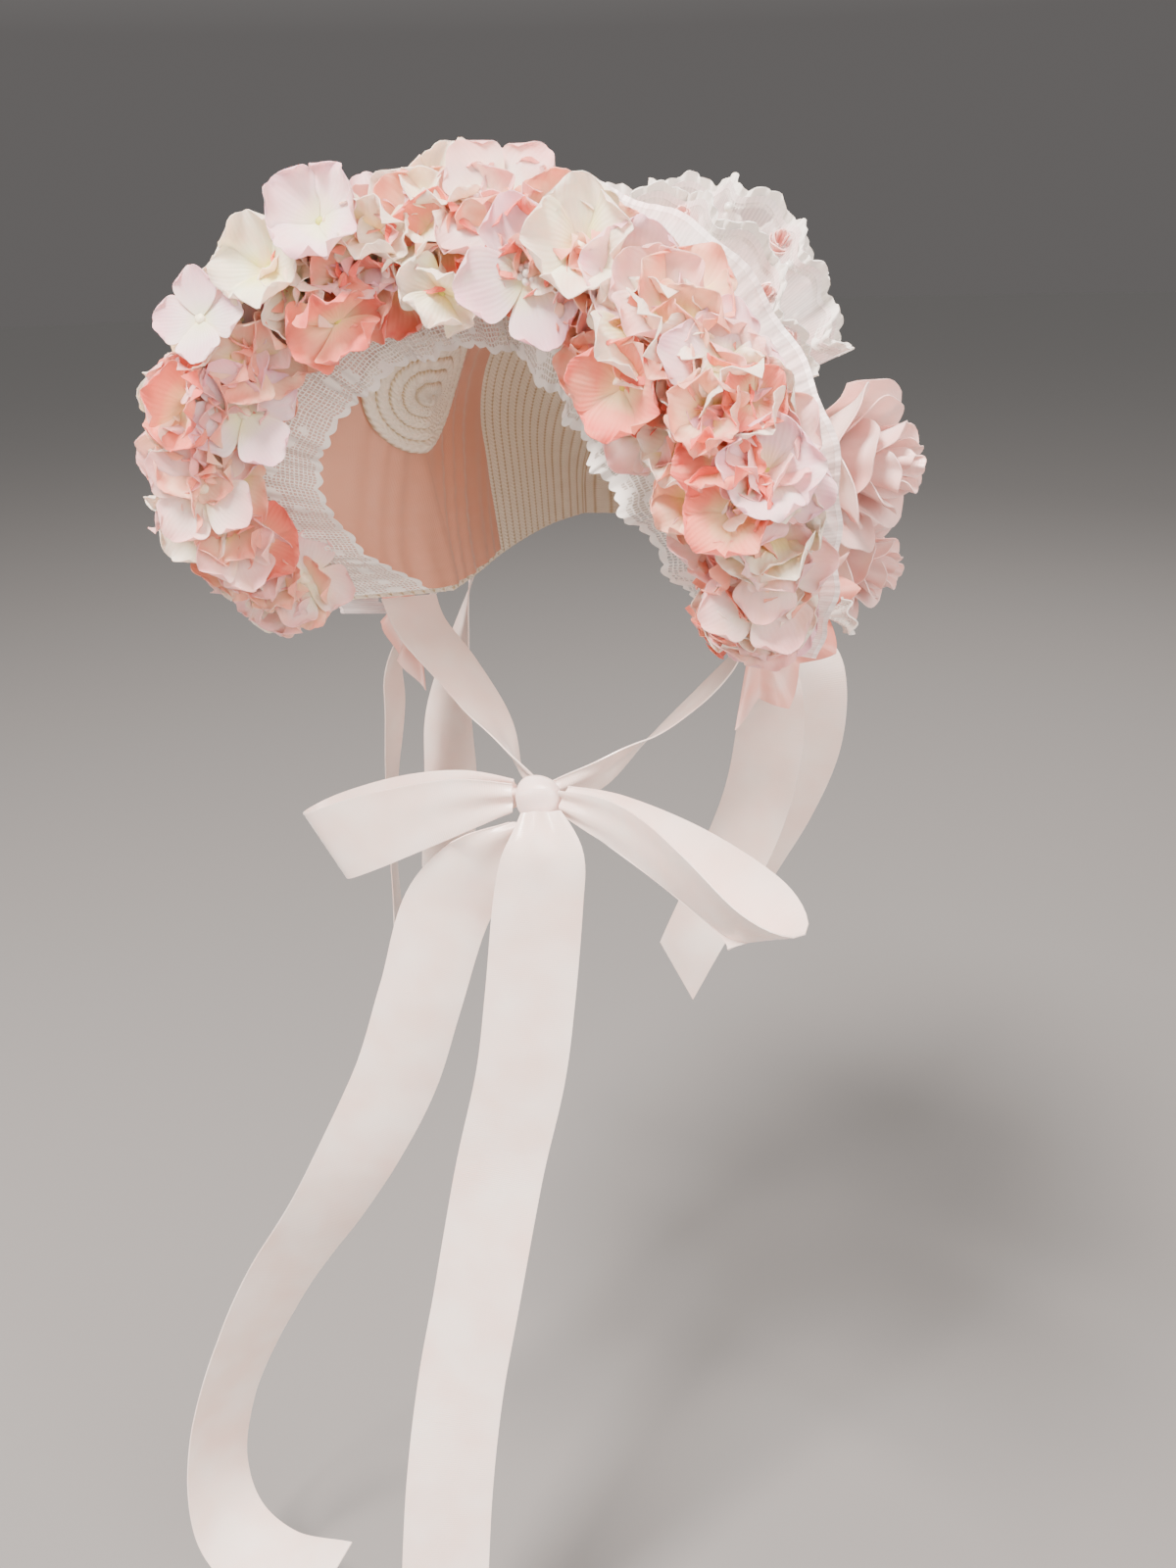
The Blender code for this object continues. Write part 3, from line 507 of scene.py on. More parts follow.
def laceMaterial(name, width, length, solidShare=0.2):
    # cotton lace: a net of fine threads with closely worked flowers and a firm edge
    material, shader = newMaterial(name, Roughness=0.75, Sheen_Weight=0.3)
    shader.inputs["Base Color"].default_value = hexColour("#F4F0EA")
    cloth = clothCoords(material, width, length)
    # net holes are 1.5 mm wide, drawn at 2.2 mm so that they show
    net = addNode(material, "TexVoronoi",
                  {"Vector": (cloth, "Vector"), "Scale": 1 / 2.2, "Randomness": 0.25},
                  feature="DISTANCE_TO_EDGE")
    threads = addNode(material, "Math", {0: (net, "Distance"), 1: 0.13}, operation="LESS_THAN")
    flowers = addNode(material, "TexVoronoi",
                      {"Vector": (cloth, "Vector"), "Scale": 1 / 13, "Randomness": 0.55})
    wobble = addNode(material, "TexNoise",
                     {"Vector": (cloth, "Vector"), "Scale": 0.22, "Detail": 2.0})
    edge = addNode(material, "Math", {0: (wobble, "Fac"), 1: 0.55, 2: 0.06},
                   operation="MULTIPLY_ADD")
    petals = addNode(material, "Math", {0: (flowers, "Distance"), 1: (edge, 0)},
                     operation="LESS_THAN")
    coords = addNode(material, "TexCoord")
    parts = addNode(material, "SeparateXYZ", {"Vector": (coords, "UV")})
    border = addNode(material, "Math", {0: (parts, "Y"), 1: 1 - solidShare},
                     operation="GREATER_THAN")
    worked = addNode(material, "Math", {0: (petals, 0), 1: (threads, 0)}, operation="MAXIMUM")
    firm = addNode(material, "Math", {0: (worked, 0), 1: (border, 0)}, operation="MAXIMUM")
    alpha = addNode(material, "Math", {0: (firm, 0), 1: 0.72, 2: 0.22}, operation="MULTIPLY_ADD")
    feed(material, shader, "Alpha", alpha, 0)
    bump = addNode(material, "Bump", {"Height": (firm, 0), "Strength": 0.4, "Distance": 0.0004})
    feed(material, shader, "Normal", bump, "Normal")
    return material


pinkPetal = petalMaterial("palePinkPetal", "#F8F0C0", "#FCD6CC", "#F8A9A8", "#FAB9A6")
mauvePetal = petalMaterial("mauvePinkPetal", "#F5EDB4", "#FBD2D3", "#F6AEBC", "#FCE4D8")
creamPetal = petalMaterial("creamPetal", "#EBDD78", "#FCF2CA", "#FBE0CC", "#FAC6B0", 0.2)
coralPetal = petalMaterial("coralPetal", "#F8D8A0", "#F88A72", "#EE5F54", "#FAA68C", 0.22)
peachPetal = petalMaterial("peachPetal", "#F5E890", "#FCC6A6", "#F8917E", "#FCDCBE")
# colours of the backing roll: painted shade for the gaps between the petals
petalGapShade = petalMaterial("pinkPetalGapShade", "#F8CDBE", "#F7C3B4", "#F6BBAC", "#F8CCBE")


def plainMaterial(name, colour, **sockets):
    material, shader = newMaterial(name, **sockets)
    coords = addNode(material, "TexCoord")
    tone = addNode(material, "TexNoise",
                   {"Vector": (coords, "Object"), "Scale": 1 / (3 * mm), "Detail": 2.0})
    base = hexColour(colour)
    darker = (*[value * 0.8 for value in base[:3]], 1)
    colours = ramp(addNode(material, "ValToRGB", {"Fac": (tone, "Fac")}), (0.3, darker),
                   (0.6, base))
    feed(material, shader, "Base Color", colours, "Color")
    return material


# moulded green plastic of the florets' cups, seen between the petals
calyxGreen = plainMaterial("mouldedGreenCalyx", "#C5CC5A", Roughness=0.55)
creamStamen = plainMaterial("waxedCreamStamen", "#F3EBCB", Roughness=0.45)
# pearl: lacquered plastic bead with a soft hard-edged shine
pearlWhite = plainMaterial("lacqueredPearl", "#F3EEE8", Roughness=0.18, Coat_Weight=0.6,
                           Coat_Roughness=0.08)
print("materials made")


# crown: rows of braid sewn round and round
def crownPoint(u, v, lift):
    along = 2 * u - 1
    bodyShare = crown["bodyShare"]
    last = len(crown["sections"]) - 1
    if v <= bodyShare:
        section = round(last * v / bodyShare, 5)
        point, normal, back = crownFrame(section, along)
        return point + normal * lift
    rim = crownArch(float(last))
    middle = (rim.at(-1) + rim.at(1)) / 2
    scale = 1 - (v - bodyShare) / (1 - bodyShare)
    scale = math.sin(math.pi / 2 * scale) ** 0.9
    point, normal, back = crownFrame(float(last), along)
    bulge = crown["tipBulge"] * (1 - scale ** 1.6)
    flat = middle + (point - middle) * scale + Vector((0, bulge, 0))
    facing = (normal * scale + Vector((0, 1, 0.1)) * (1 - scale)).normalized()
    return flat + facing * lift


def braidLift(v, rows):
    # outer face of a sewn row, highest at its middle
    ridge = abs(math.sin(math.pi * v * rows)) ** 0.6
    return crown["felt"] / 2 + crown["braidRidge"] * (ridge - 0.6)


def makeCrown():
    rows = crown["rows"]

    def place(u, v):
        return crownPoint(u, v, braidLift(v, rows))

    shell = makeCloth("crownBraid", braidSheet["columns"], rows * braidSheet["perRow"], place,
                      braidSheet["wall"],
                      braidMaterial("ivoryCrownBraid", crown["braidLength"], rows))
    finishPiece(shell, "ivory_braid", "crown")


makeCrown()
print("crown made")


# brim: the same braid, sewn round the face
def makeBrim():
    rows = brim["rows"]

    def place(u, v):
        point, out, normal = brimFrame(2 * u - 1, v)
        return point + normal * braidLift(v, rows)

    sheet = makeCloth("brimBraid", braidSheet["columns"], rows * braidSheet["perRow"], place,
                      braidSheet["wall"],
                      braidMaterial("ivoryBrimBraid", brim["braidLength"], rows))
    finishPiece(sheet, "ivory_braid", "brim")


makeBrim()

lining = {
    "thickness": 0.5,
    "grid": (160, 60),
    "span": 0.98,
    "crownLength": 455,
    "crownDepth": 74,
    "foldPitch": 15,
}
pinkLining = satinMaterial("pinkLiningSatin", "#E0A086", "#DE9D82", lining["crownLength"],
                           lining["crownDepth"], 0.42)


def softFold(length):
    # uneven rounded pleats, as cloth falls between its stitches
    step = length / lining["foldPitch"]
    return (0.55 * math.sin(math.tau * step + 1.3 * math.sin(step * 1.7))
            + 0.45 * math.sin(math.tau * step * 0.47 + 2.0))


def innerWall(along, depth, inset):
    # inside of the bonnet: depth is towards the face, and inset away from the wall
    share = round(max(depth, 0) / brimWidth(along), 5)
    brimPoint, _, brimNormal = brimFrame(round(along, 5), share)
    section = round(max(-depth, 0) / 38, 5)
    crownAt, crownNormal, _ = crownFrame(section, round(along, 5))
    blend = min(max(0.5 + depth / 16, 0), 1)
    normal = crownNormal.lerp(brimNormal, blend).normalized()
    return (brimPoint if depth > 0 else crownAt) - normal * inset


def makeLinings():
    def liningPoint(along, depth, hang, lift):
        fold = 0.5 + 0.5 * softFold(depth + 5 * math.sin(along * 9) + 40 * along)
        gather = 0.25 * math.sin(along * 150 + 2 * math.sin(along * 21))
        return innerWall(along, depth, lift + (2.9 * fold + gather) * hang)

    def crownPlace(u, v):
        hang = math.sin(math.pi * (0.1 + 0.85 * v))
        return liningPoint((2 * u - 1) * lining["span"], 1.5 - 76 * v, hang, 0.8)

    sheet = makeCloth("crownLiningSatin", *lining["grid"], crownPlace, lining["thickness"],
                      pinkLining)
    finishPiece(sheet, "pink_satin", "crown_lining")

    def brimPlace(u, v):
        along = (2 * u - 1) * lining["span"]
        depth = -5 + (5 + 0.82 * brimWidth(along)) * v
        return liningPoint(along, depth, min(1, 0.15 + 4 * v) * (1 - 0.3 * v), 1.7)

    sheet = makeCloth("brimLiningSatin", *lining["grid"], brimPlace, lining["thickness"],
                      pinkLining)
    finishPiece(sheet, "pink_satin", "brim_lining")


makeLinings()
print("brim and linings made")


# organza frill on the back of the brim, behind the flowers
frill = {
    "root": 0.64,
    "overhang": 14,
    "lobe": 5,
    "waves": 7,
    "clear": 1.2,
    "shape": [
        FrillRow(-1.0, 31, 14, 5), FrillRow(-0.6, 30, 12, 6), FrillRow(-0.3, 34, 12, 8),
        FrillRow(0.0, 32, 10, 5), FrillRow(0.3, 33, 12, 6), FrillRow(0.6, 31, 14, 4),
        FrillRow(1.0, 30, 20, 3),
    ],
    "length": 640,
    "depth": 36,
}


def makeFrill():
    overhang = 1 + frill["overhang"] / brimOuter.half

    def place(u, v):
        along = (2 * u - 1) * overhang
        shape = rowAlong(frill["shape"], along)
        root, out, normal = brimFrame(along, frill["root"])
        lean = math.radians(shape.lean)
        rise = normal * math.cos(lean) + out * math.sin(lean)
        swing = math.sin(math.pi * frill["waves"] * along + 0.6) - 0.6
        hang = math.cos(2.3 * math.pi * frill["waves"] * along)
        hang += frill["lobe"] * math.exp(-((along + 0.1) / 0.07) ** 2)
        gather = math.sin(along * 290 + 2.2 * math.sin(along * 37))
        height = crown["felt"] + frill["clear"] + v * (shape.reach + hang)
        spread = shape.wave * swing * v ** 1.3 + 0.9 * gather * (1 - 0.7 * v)
        return root + rise * height + out * spread

    organza = organzaMaterial("whiteOrganzaFrill", 0.44, frill["length"], frill["depth"])
    sheet = makeCloth("brimFrillOrganza", 560, 14, place, 0.3, organza)
    finishPiece(sheet, "white_organza", "brim_frill")


makeFrill()


# gathered lace on the face side, from the flowers inwards
lace = {
    "root": 9,
    "waves": 12,
    "scallop": 9.0,
    "shape": [
        FrillRow(-1.0, 40, 40, 3), FrillRow(-0.6, 38, 38, 4), FrillRow(-0.3, 38, 40, 4),
        FrillRow(0.0, 40, 48, 4), FrillRow(0.2, 54, 56, 4), FrillRow(0.4, 61, 60, 4),
        FrillRow(0.6, 57, 65, 4), FrillRow(0.8, 40, 64, 4), FrillRow(1.0, 24, 60, 3),
    ],
    "length": 700,
    "depth": 44,
}


def makeLace():
    def place(u, v):
        along = (2 * u - 1) * 0.99
        shape = rowAlong(lace["shape"], along)
        root, out, normal = brimFrame(along, round(1 - lace["root"] / brimWidth(along), 6))
        stand = math.radians(shape.lean)
        inward = -normal * math.sin(stand) - out * math.cos(stand)
        across = normal * math.cos(stand) - out * math.sin(stand)
        swing = math.sin(math.pi * lace["waves"] * along)
        gather = math.sin(along * 210 + 1.8 * math.sin(along * 29))
        scallop = abs(math.sin(math.pi * along * brimOuter.half / lace["scallop"]))
        height = v * (shape.reach + 1.5 * abs(swing) - 2.2 * v ** 6 * (1 - scallop))
        spread = shape.wave * swing * v + 0.8 * gather * (1 - 0.6 * v)
        return root - normal * 1.2 + inward * height + across * spread

    cotton = laceMaterial("whiteCottonLace", lace["length"], lace["depth"], 0.07)
    sheet = makeCloth("brimLaceGathered", 760, 16, place, 0.4, cotton)
    finishPiece(sheet, "white_lace", "brim_lace")


makeLace()
print("frill and lace made")


# rows of organza over the crown, each with a corded lace edge
Ruffle = namedtuple("Ruffle", "name node section reach lean puffs flat")
ruffles = {
    "rows": [
        Ruffle("ruffleFront", "crown_ruffle_front", 1.0, 27, -10, 7, 0.42),
        Ruffle("ruffleMiddle", "crown_ruffle_middle", 2.0, 29, 4, 8, 0.46),
        Ruffle("ruffleBack", "crown_ruffle_back", 3.0, 27, 16, 7, 0.40),
    ],
    "span": 0.50,
    "swell": 17,
    "length": 460,
    "columns": 420,
    "edgeLevel": 0.96,   # share of the ruffle's height where its edging starts
}
ruffleOrganza = organzaMaterial("whiteOrganzaRuffle", 0.30, ruffles["length"], 34)
cordedLace = laceMaterial("cordedLaceEdge", ruffles["length"], 12, 0.5)


def rufflePoint(row, along, level, extra=0.0):
    root, normal, back = crownFrame(row.section, along)
    lean = math.radians(row.lean)
    rise = normal * math.cos(lean) + back * math.sin(lean)
    fold = along / ruffles["span"] * math.pi * row.puffs
    swell = ruffles["swell"] * math.sin(math.pi * along / ruffles["span"]) ** 2
    gather = math.sin(along * 230 + 2 * math.sin(along * 31))
    height = crown["felt"] + 0.4 + level * (row.reach + swell + 2.5 * math.cos(2 * fold))
    spread = (1.5 + 9 * level) * math.sin(fold) + 0.9 * gather * (1 - 0.6 * level)
    return root + rise * (height + extra) + back * spread


def makeRuffle(row):
    def place(u, v):
        return rufflePoint(row, round((2 * u - 1) * ruffles["span"], 6),
                           v * ruffles["edgeLevel"])

    def edgePlace(u, v):
        along = round((2 * u - 1) * ruffles["span"], 6)
        scallop = abs(math.sin(math.pi * along * crownFront.half / 4.5))
        curl = 1.4 * math.sin(along * 400)
        extra = (v - 0.5) * 8 - 1.5 + 1.6 * scallop * v
        point = rufflePoint(row, along, ruffles["edgeLevel"], extra)
        return point + crownFrame(row.section, along)[2] * (curl * v + 1.2)

    sheet = makeCloth(row.name, ruffles["columns"], 12, place, 0.3, ruffleOrganza)
    finishPiece(sheet, "white_organza", row.node)
    edging = makeCloth(row.name + "Edging", ruffles["columns"], 5, edgePlace, 0.8, cordedLace)
    finishPiece(edging, "white_lace")


for ruffleRow in ruffles["rows"]:
    makeRuffle(ruffleRow)

trims = {
    "pearls": 26,
    "pearlRadius": 2.2,
    "pearlReach": 0.44,
    "pearlStep": 0.618,
    "buds": [(0, 0.36), (0, 0.425), (0, 0.19), (1, 0.30), (0, -0.30), (2, -0.12), (1, 0.02)],
    "budRadius": 7,
    "budPetals": 5,
}
budSatin = satinMaterial("blushBudSatin", "#FBD3CE", "#F5A79E", 20, 20, 0.36)


def trimSeat(rowIndex, along, level, clear):
    # on the front face of a ruffle, clear of its middle
    row = ruffles["rows"][rowIndex]
    along = round(along, 5)
    root, normal, back = crownFrame(row.section, along)
    turn = (normal - back).to_track_quat("Z", "Y").to_matrix().to_4x4()
    point = rufflePoint(row, along, level) - back * clear
    return Matrix.Translation(point * mm) @ turn


def makeTrims():
    # pearls are sewn between the rows, with small rolled satin buds
    pieces = []
    deselectAll()
    bpy.ops.mesh.primitive_uv_sphere_add(segments=16, ring_count=10,
                                         radius=trims["pearlRadius"] * mm)
    pearl = bpy.context.object
    paint(pearl, pearlWhite)
    for number in range(trims["pearls"]):
        rowIndex = number % 3
        along = trims["pearlReach"] * (2 * ((number * trims["pearlStep"]) % 1) - 1)
        level = 0.66 + 0.2 * math.sin(number * 2.1)
        pieces.append(copyOf(pearl, "pearl", trimSeat(rowIndex, along, level, 2.4)))
    putAway(pearl)
    sewn = joinAll("crownPearls", pieces)
    finishPiece(smooth(sewn, 60), "white_lace")
    petals = []
    for rowIndex, along in trims["buds"]:
        for number in range(trims["budPetals"]):
            turn = 1.3 * number

            def place(u, v):
                radius = trims["budRadius"] * (0.25 + 0.17 * number) * (0.55 + 0.45 * v ** 0.5)
                angle = turn + (u - 0.5) * 2.9
                rise = 9 * v - 1.2 * number * v + 0.8 * math.sin(9 * u + number) * v
                return Vector((radius * math.cos(angle), radius * math.sin(angle), rise))

            petal = makeSheet("budPetal", 10, 6, place)
            giveWall(petal, 0.5)
            petal.data.transform(trimSeat(rowIndex, along, 0.72, 1.5))
            petals.append(petal)
    buds = joinAll("crownSatinBuds", petals)
    paint(smooth(buds, 60), budSatin)
    finishPiece(buds, "rose_satin")


makeTrims()
print("crown ruffles made")


# florets: petals pressed from cloth, four to a flower
Petal = namedtuple("Petal", "length width cup curl wave crinkle raised")
floretKinds = {
    "smooth": Petal(27, 25, 1.2, 0.12, 0.9, 0.15, 12),
    "soft": Petal(25, 28, 2.0, 0.30, 2.6, 0.45, 30),
    "crinkled": Petal(23, 30, 1.6, 0.45, 3.8, 1.10, 42),
}
petalOutline = {
    "widestAt": 0.62,
    "baseBreadth": 0.14,
    "tipBreadth": 0.64,
    "rounding": 0.30,
    "notch": 0.05,
}


def petalPoint(kind, u, v, seed):
    # the petal lies along +X from its stem, broad and rounded at its far end
    across = 2 * u - 1
    widest = petalOutline["widestAt"]
    if v < widest:
        base = petalOutline["baseBreadth"]
        breadth = base + (1 - base) * math.sin(math.pi / 2 * v / widest) ** 0.9
    else:
        breadth = 1 - (1 - petalOutline["tipBreadth"]) * ((v - widest) / (1 - widest)) ** 2
    away = kind.length * (0.06 + 0.94 * v) * (1 - petalOutline["rounding"] * across ** 2 * v ** 2)
    away *= 1 - petalOutline["notch"] * (1 - abs(across)) ** 2 * v ** 8
    side = kind.width / 2 * across * breadth
    rim = v * max(across * across, v ** 3) ** 1.3
    wave = kind.wave * rim * math.sin(6.0 * v + 4.4 * across + 2.0 * seed)
    fold = kind.crinkle * v * math.sin(9 * across + 1.9 * seed + 1.5 * math.sin(4 * v + seed))
    fine = kind.crinkle * 0.45 * v * math.sin(19 * across + 6 * v + seed)
    rise = kind.length * 0.5 * kind.curl * v * v
    cup = kind.cup * across * across * v
    return Vector((away, side, rise + cup + wave + fold + fine))


def makeHeart(heartName):
    # yellow-green stamens, a waxed cream knob, or a dome of small pearls
    beads = []
    deselectAll()
    if heartName == "pearls":
        places = [(0, 0)] + [(2.6, 60 * step) for step in range(6)]
        for away, turn in places:
            bpy.ops.mesh.primitive_ico_sphere_add(subdivisions=2, radius=1.5 * mm)
            bead = bpy.context.object
            angle = math.radians(turn)
            bead.data.transform(Matrix.Translation(Vector((
                away * math.cos(angle), away * math.sin(angle), 3.2 - 0.35 * away)) * mm))
            beads.append(paint(bead, pearlWhite))
    radius = {"pearls": 2.6, "cream": 3.0, "green": 2.0}[heartName]
    bpy.ops.mesh.primitive_ico_sphere_add(subdivisions=2, radius=radius * mm)
    heart = bpy.context.object
    for vertex in heart.data.vertices:
        bump = 1 + 0.2 * math.sin(vertex.co.x / mm * 3.1) * math.sin(vertex.co.y / mm * 3.3)
        vertex.co = vertex.co * bump
        vertex.co.z = vertex.co.z * 0.6 + 0.9 * mm
    paint(heart, calyxGreen if heartName == "green" else creamStamen)
    return [heart, *beads]


def makeCalyx():
    # four small sepals that show between the petals
    sepals = []
    for number in range(4):
        sepal = makeSheet("sepal", 3, 3, lambda u, v: Vector((
            1.0 + 9.5 * v, 4.2 * (u - 0.5) * (1 - 0.8 * v), -0.6 - 1.6 * (1 - v))))
        giveWall(sepal, 0.4)
        sepal.data.transform(Matrix.Rotation(math.radians(90 * number + 45), 4, "Z"))
        sepals.append(paint(sepal, calyxGreen))
    return sepals


def makeFloret(kindName, material, seed, heartName):
    # model four petals that differ a little, then set them round the flower's middle
    kind = floretKinds[kindName]
    petals = []
    for number in range(4):
        petal = makeSheet("petal", 10, 10,
                          lambda u, v: petalPoint(kind, u, v, seed + 1.3 * number))
        giveWall(petal, 0.35)
        turn = Matrix.Rotation(math.radians(90 * number + 8 * math.sin(seed + number)), 4, "Z")
        raised = 3 + kind.raised * abs(math.sin(seed * 2.3 + number * 1.7))
        tip = Matrix.Rotation(math.radians(-raised), 4, "Y")
        lift = Matrix.Translation((0, 0, (0.4 + 0.5 * (number % 2)) * mm))
        petal.data.transform(turn @ tip @ lift)
        petals.append(paint(petal, material))
    return joinAll("floretModel", petals + makeHeart(heartName) + makeCalyx())


def facingMatrix(centre, axis, spin, size):
    # puts a flower modelled facing +Z at centre, facing along axis
    turn = axis.to_track_quat("Z", "Y").to_matrix().to_4x4()
    return (Matrix.Translation(centre * mm) @ turn @ Matrix.Rotation(spin, 4, "Z")
            @ Matrix.Scale(size, 4))


FloretModel = namedtuple("FloretModel", "kind material seed heart")
floretPlan = {
    "pinkSoft": FloretModel("soft", pinkPetal, 1.0, "green"),
    "pinkSmooth": FloretModel("smooth", pinkPetal, 2.7, "cream"),
    "pinkPearl": FloretModel("smooth", mauvePetal, 3.3, "pearls"),
    "pinkCrinkled": FloretModel("crinkled", pinkPetal, 4.4, "green"),
    "pinkLoose": FloretModel("soft", pinkPetal, 5.9, "cream"),
    "creamCrinkled": FloretModel("crinkled", creamPetal, 6.1, "green"),
    "creamSoft": FloretModel("soft", creamPetal, 7.8, "green"),
    "creamLoose": FloretModel("soft", creamPetal, 9.0, "cream"),
    "mauveSmooth": FloretModel("smooth", mauvePetal, 9.5, "cream"),
    "mauveSoft": FloretModel("soft", mauvePetal, 11.2, "green"),
    "peachSoft": FloretModel("soft", peachPetal, 12.9, "green"),
    "peachCrinkled": FloretModel("crinkled", peachPetal, 14.6, "green"),
    "coralCrinkled": FloretModel("crinkled", coralPetal, 16.3, "green"),
    "coralSoft": FloretModel("soft", coralPetal, 18.0, "green"),
}
PlacedFloret = namedtuple("PlacedFloret", "along turn reach model size spin")
flowers = {
    "clusters": 9,
    "columns": (0.27, 0.77),
    "stagger": 0.22,
    "turns": (-80, -54, -28, -2, 24, 50),
    "turnsLeft": (-92, -72, -52, -32, -14, 3, 32),
    "reach": 12,
    "behindTurn": 28,
    "behindReach": 6,
    "behindSize": 0.68,
    "lastAlong": 0.88,
    "frillShows": (-0.17, -0.03),
    "frillTurn": -4,
    "frillEnd": 0.68,
    "frillEndTurn": -18,
    "seed": 11,
    "outerMix": ["pinkSoft", "pinkSmooth", "pinkLoose", "pinkLoose", "pinkCrinkled",
                 "creamCrinkled", "creamSoft", "creamLoose", "mauveSmooth", "mauveSoft",
                 "peachSoft", "creamLoose"],
    "innerMix": ["pinkSoft", "pinkLoose", "pinkCrinkled", "peachSoft", "peachCrinkled",
                 "coralCrinkled", "coralSoft", "creamSoft", "creamCrinkled", "peachSoft",
                 "pinkSmooth", "coralSoft"],
    "overLace": [
        PlacedFloret(0.265, 0, 17, "peachCrinkled", 0.80, 20),
        PlacedFloret(0.187, 0, 15, "creamSoft", 0.80, 70),
        PlacedFloret(0.41, 0, 24, "coralSoft", 0.85, 10),
        PlacedFloret(0.475, 0, 32, "pinkSoft", 0.85, 50),
        PlacedFloret(0.33, 0, 30, "peachSoft", 0.85, 80),
        PlacedFloret(0.63, 0, 26, "peachCrinkled", 0.85, 35),
        PlacedFloret(0.70, 0, 20, "pinkLoose", 0.85, 5),
        PlacedFloret(0.55, 0, 24, "creamCrinkled", 0.80, 60),
    ],
    "overLaceLift": 8,
    "shown": [
        PlacedFloret(0.055, 14, 15, "pinkSmooth", 1.05, 45),
        PlacedFloret(0.135, -52, 22, "pinkPearl", 1.10, 20),
        PlacedFloret(-0.40, -6, 32, "mauveSmooth", 0.78, 10),
        PlacedFloret(-0.18, 2, 30, "mauveSoft", 0.95, 60),
        PlacedFloret(-0.29, -4, 24, "creamSoft", 0.95, 15),
        PlacedFloret(-0.125, -14, 20, "creamCrinkled", 0.85, 70),
        PlacedFloret(0.47, -6, 17, "mauveSmooth", 0.90, 80),
        PlacedFloret(0.81, -24, 19, "pinkSmooth", 1.00, 35),
        PlacedFloret(-0.25, -76, 26, "coralCrinkled", 1.00, 30),
        PlacedFloret(-0.535, -24, 20, "coralCrinkled", 0.95, 75),
        PlacedFloret(0.53, 4, 19, "coralSoft", 0.60, 50),
        PlacedFloret(0.585, -50, 20, "coralCrinkled", 0.80, 10),
        PlacedFloret(-0.045, -70, 30, "creamCrinkled", 0.80, 55),
        PlacedFloret(0.36, -52, 20, "creamCrinkled", 0.95, 25),
        PlacedFloret(0.40, -78, 32, "coralSoft", 0.90, 65),
        PlacedFloret(0.21, -13, 20, "creamLoose", 1.00, 5),
        PlacedFloret(-0.675, -54, 20, "pinkSmooth", 1.00, 60),
        PlacedFloret(-0.795, -55, 20, "pinkLoose", 0.90, 20),
        PlacedFloret(-0.51, -82, 22, "mauveSmooth", 0.95, 30),
        PlacedFloret(0.35, -12, 16, "pinkLoose", 0.90, 40),
        PlacedFloret(0.62, -10, 16, "mauveSoft", 0.90, 85),
        PlacedFloret(0.735, -18, 16, "pinkCrinkled", 0.85, 15),
        PlacedFloret(0.66, -52, 22, "coralSoft", 0.85, 40),
        PlacedFloret(0.52, -38, 20, "peachCrinkled", 0.85, 70),
    ],
    "shownSide": Vector((0.40, -0.84, 0.37)),
}
floretModels = {name: makeFloret(*plan) for name, plan in floretPlan.items()}
clusterSlots = ("petal_pink", "petal_coral", "petal_cream")


def clusterOf(along):
    return min(int((along + 1) / 2 * flowers["clusters"]), flowers["clusters"] - 1)


def makeBacking(first, step):
    # roll round the brim's edge, which the florets are sewn to; its pink is painted shade, the
    # shade that shows in the gaps between the petals
    def place(u, v):
        point, out, normal = edgeFrame(first + step * (0.004 + 0.992 * u))
        angle = math.tau * v
        return point + out * (5 + 7 * math.cos(angle)) - normal * (2 + 10 * math.sin(angle))

    roll = makeSheet("petalGapShadeRoll", 10, 24, place)
    giveWall(roll, 1.0)
    return paint(roll, petalGapShade)


def laceSeat(row):
    # middle of a floret that lies over the lace, and the way it faces
    point, out, normal = edgeFrame(row.along)
    stand = math.radians(rowAlong(lace["shape"], row.along).lean)
    inward = -normal * math.sin(stand) - out * math.cos(stand)
    laceSide = out * math.sin(stand) - normal * math.cos(stand)
    centre = point - out * 4 + inward * row.reach + laceSide * flowers["overLaceLift"]
    return centre, (laceSide + flowers["shownSide"] * 0.5 + inward * 0.2).normalized()


def edgeSeat(row):
    # the same for one on the brim's edge
    point, out, normal = edgeFrame(row.along)
    turn = math.radians(row.turn)
    away = out * math.cos(turn) + normal * math.sin(turn)
    return point + away * row.reach, (away * 0.6 + flowers["shownSide"] * 0.8).normalized()


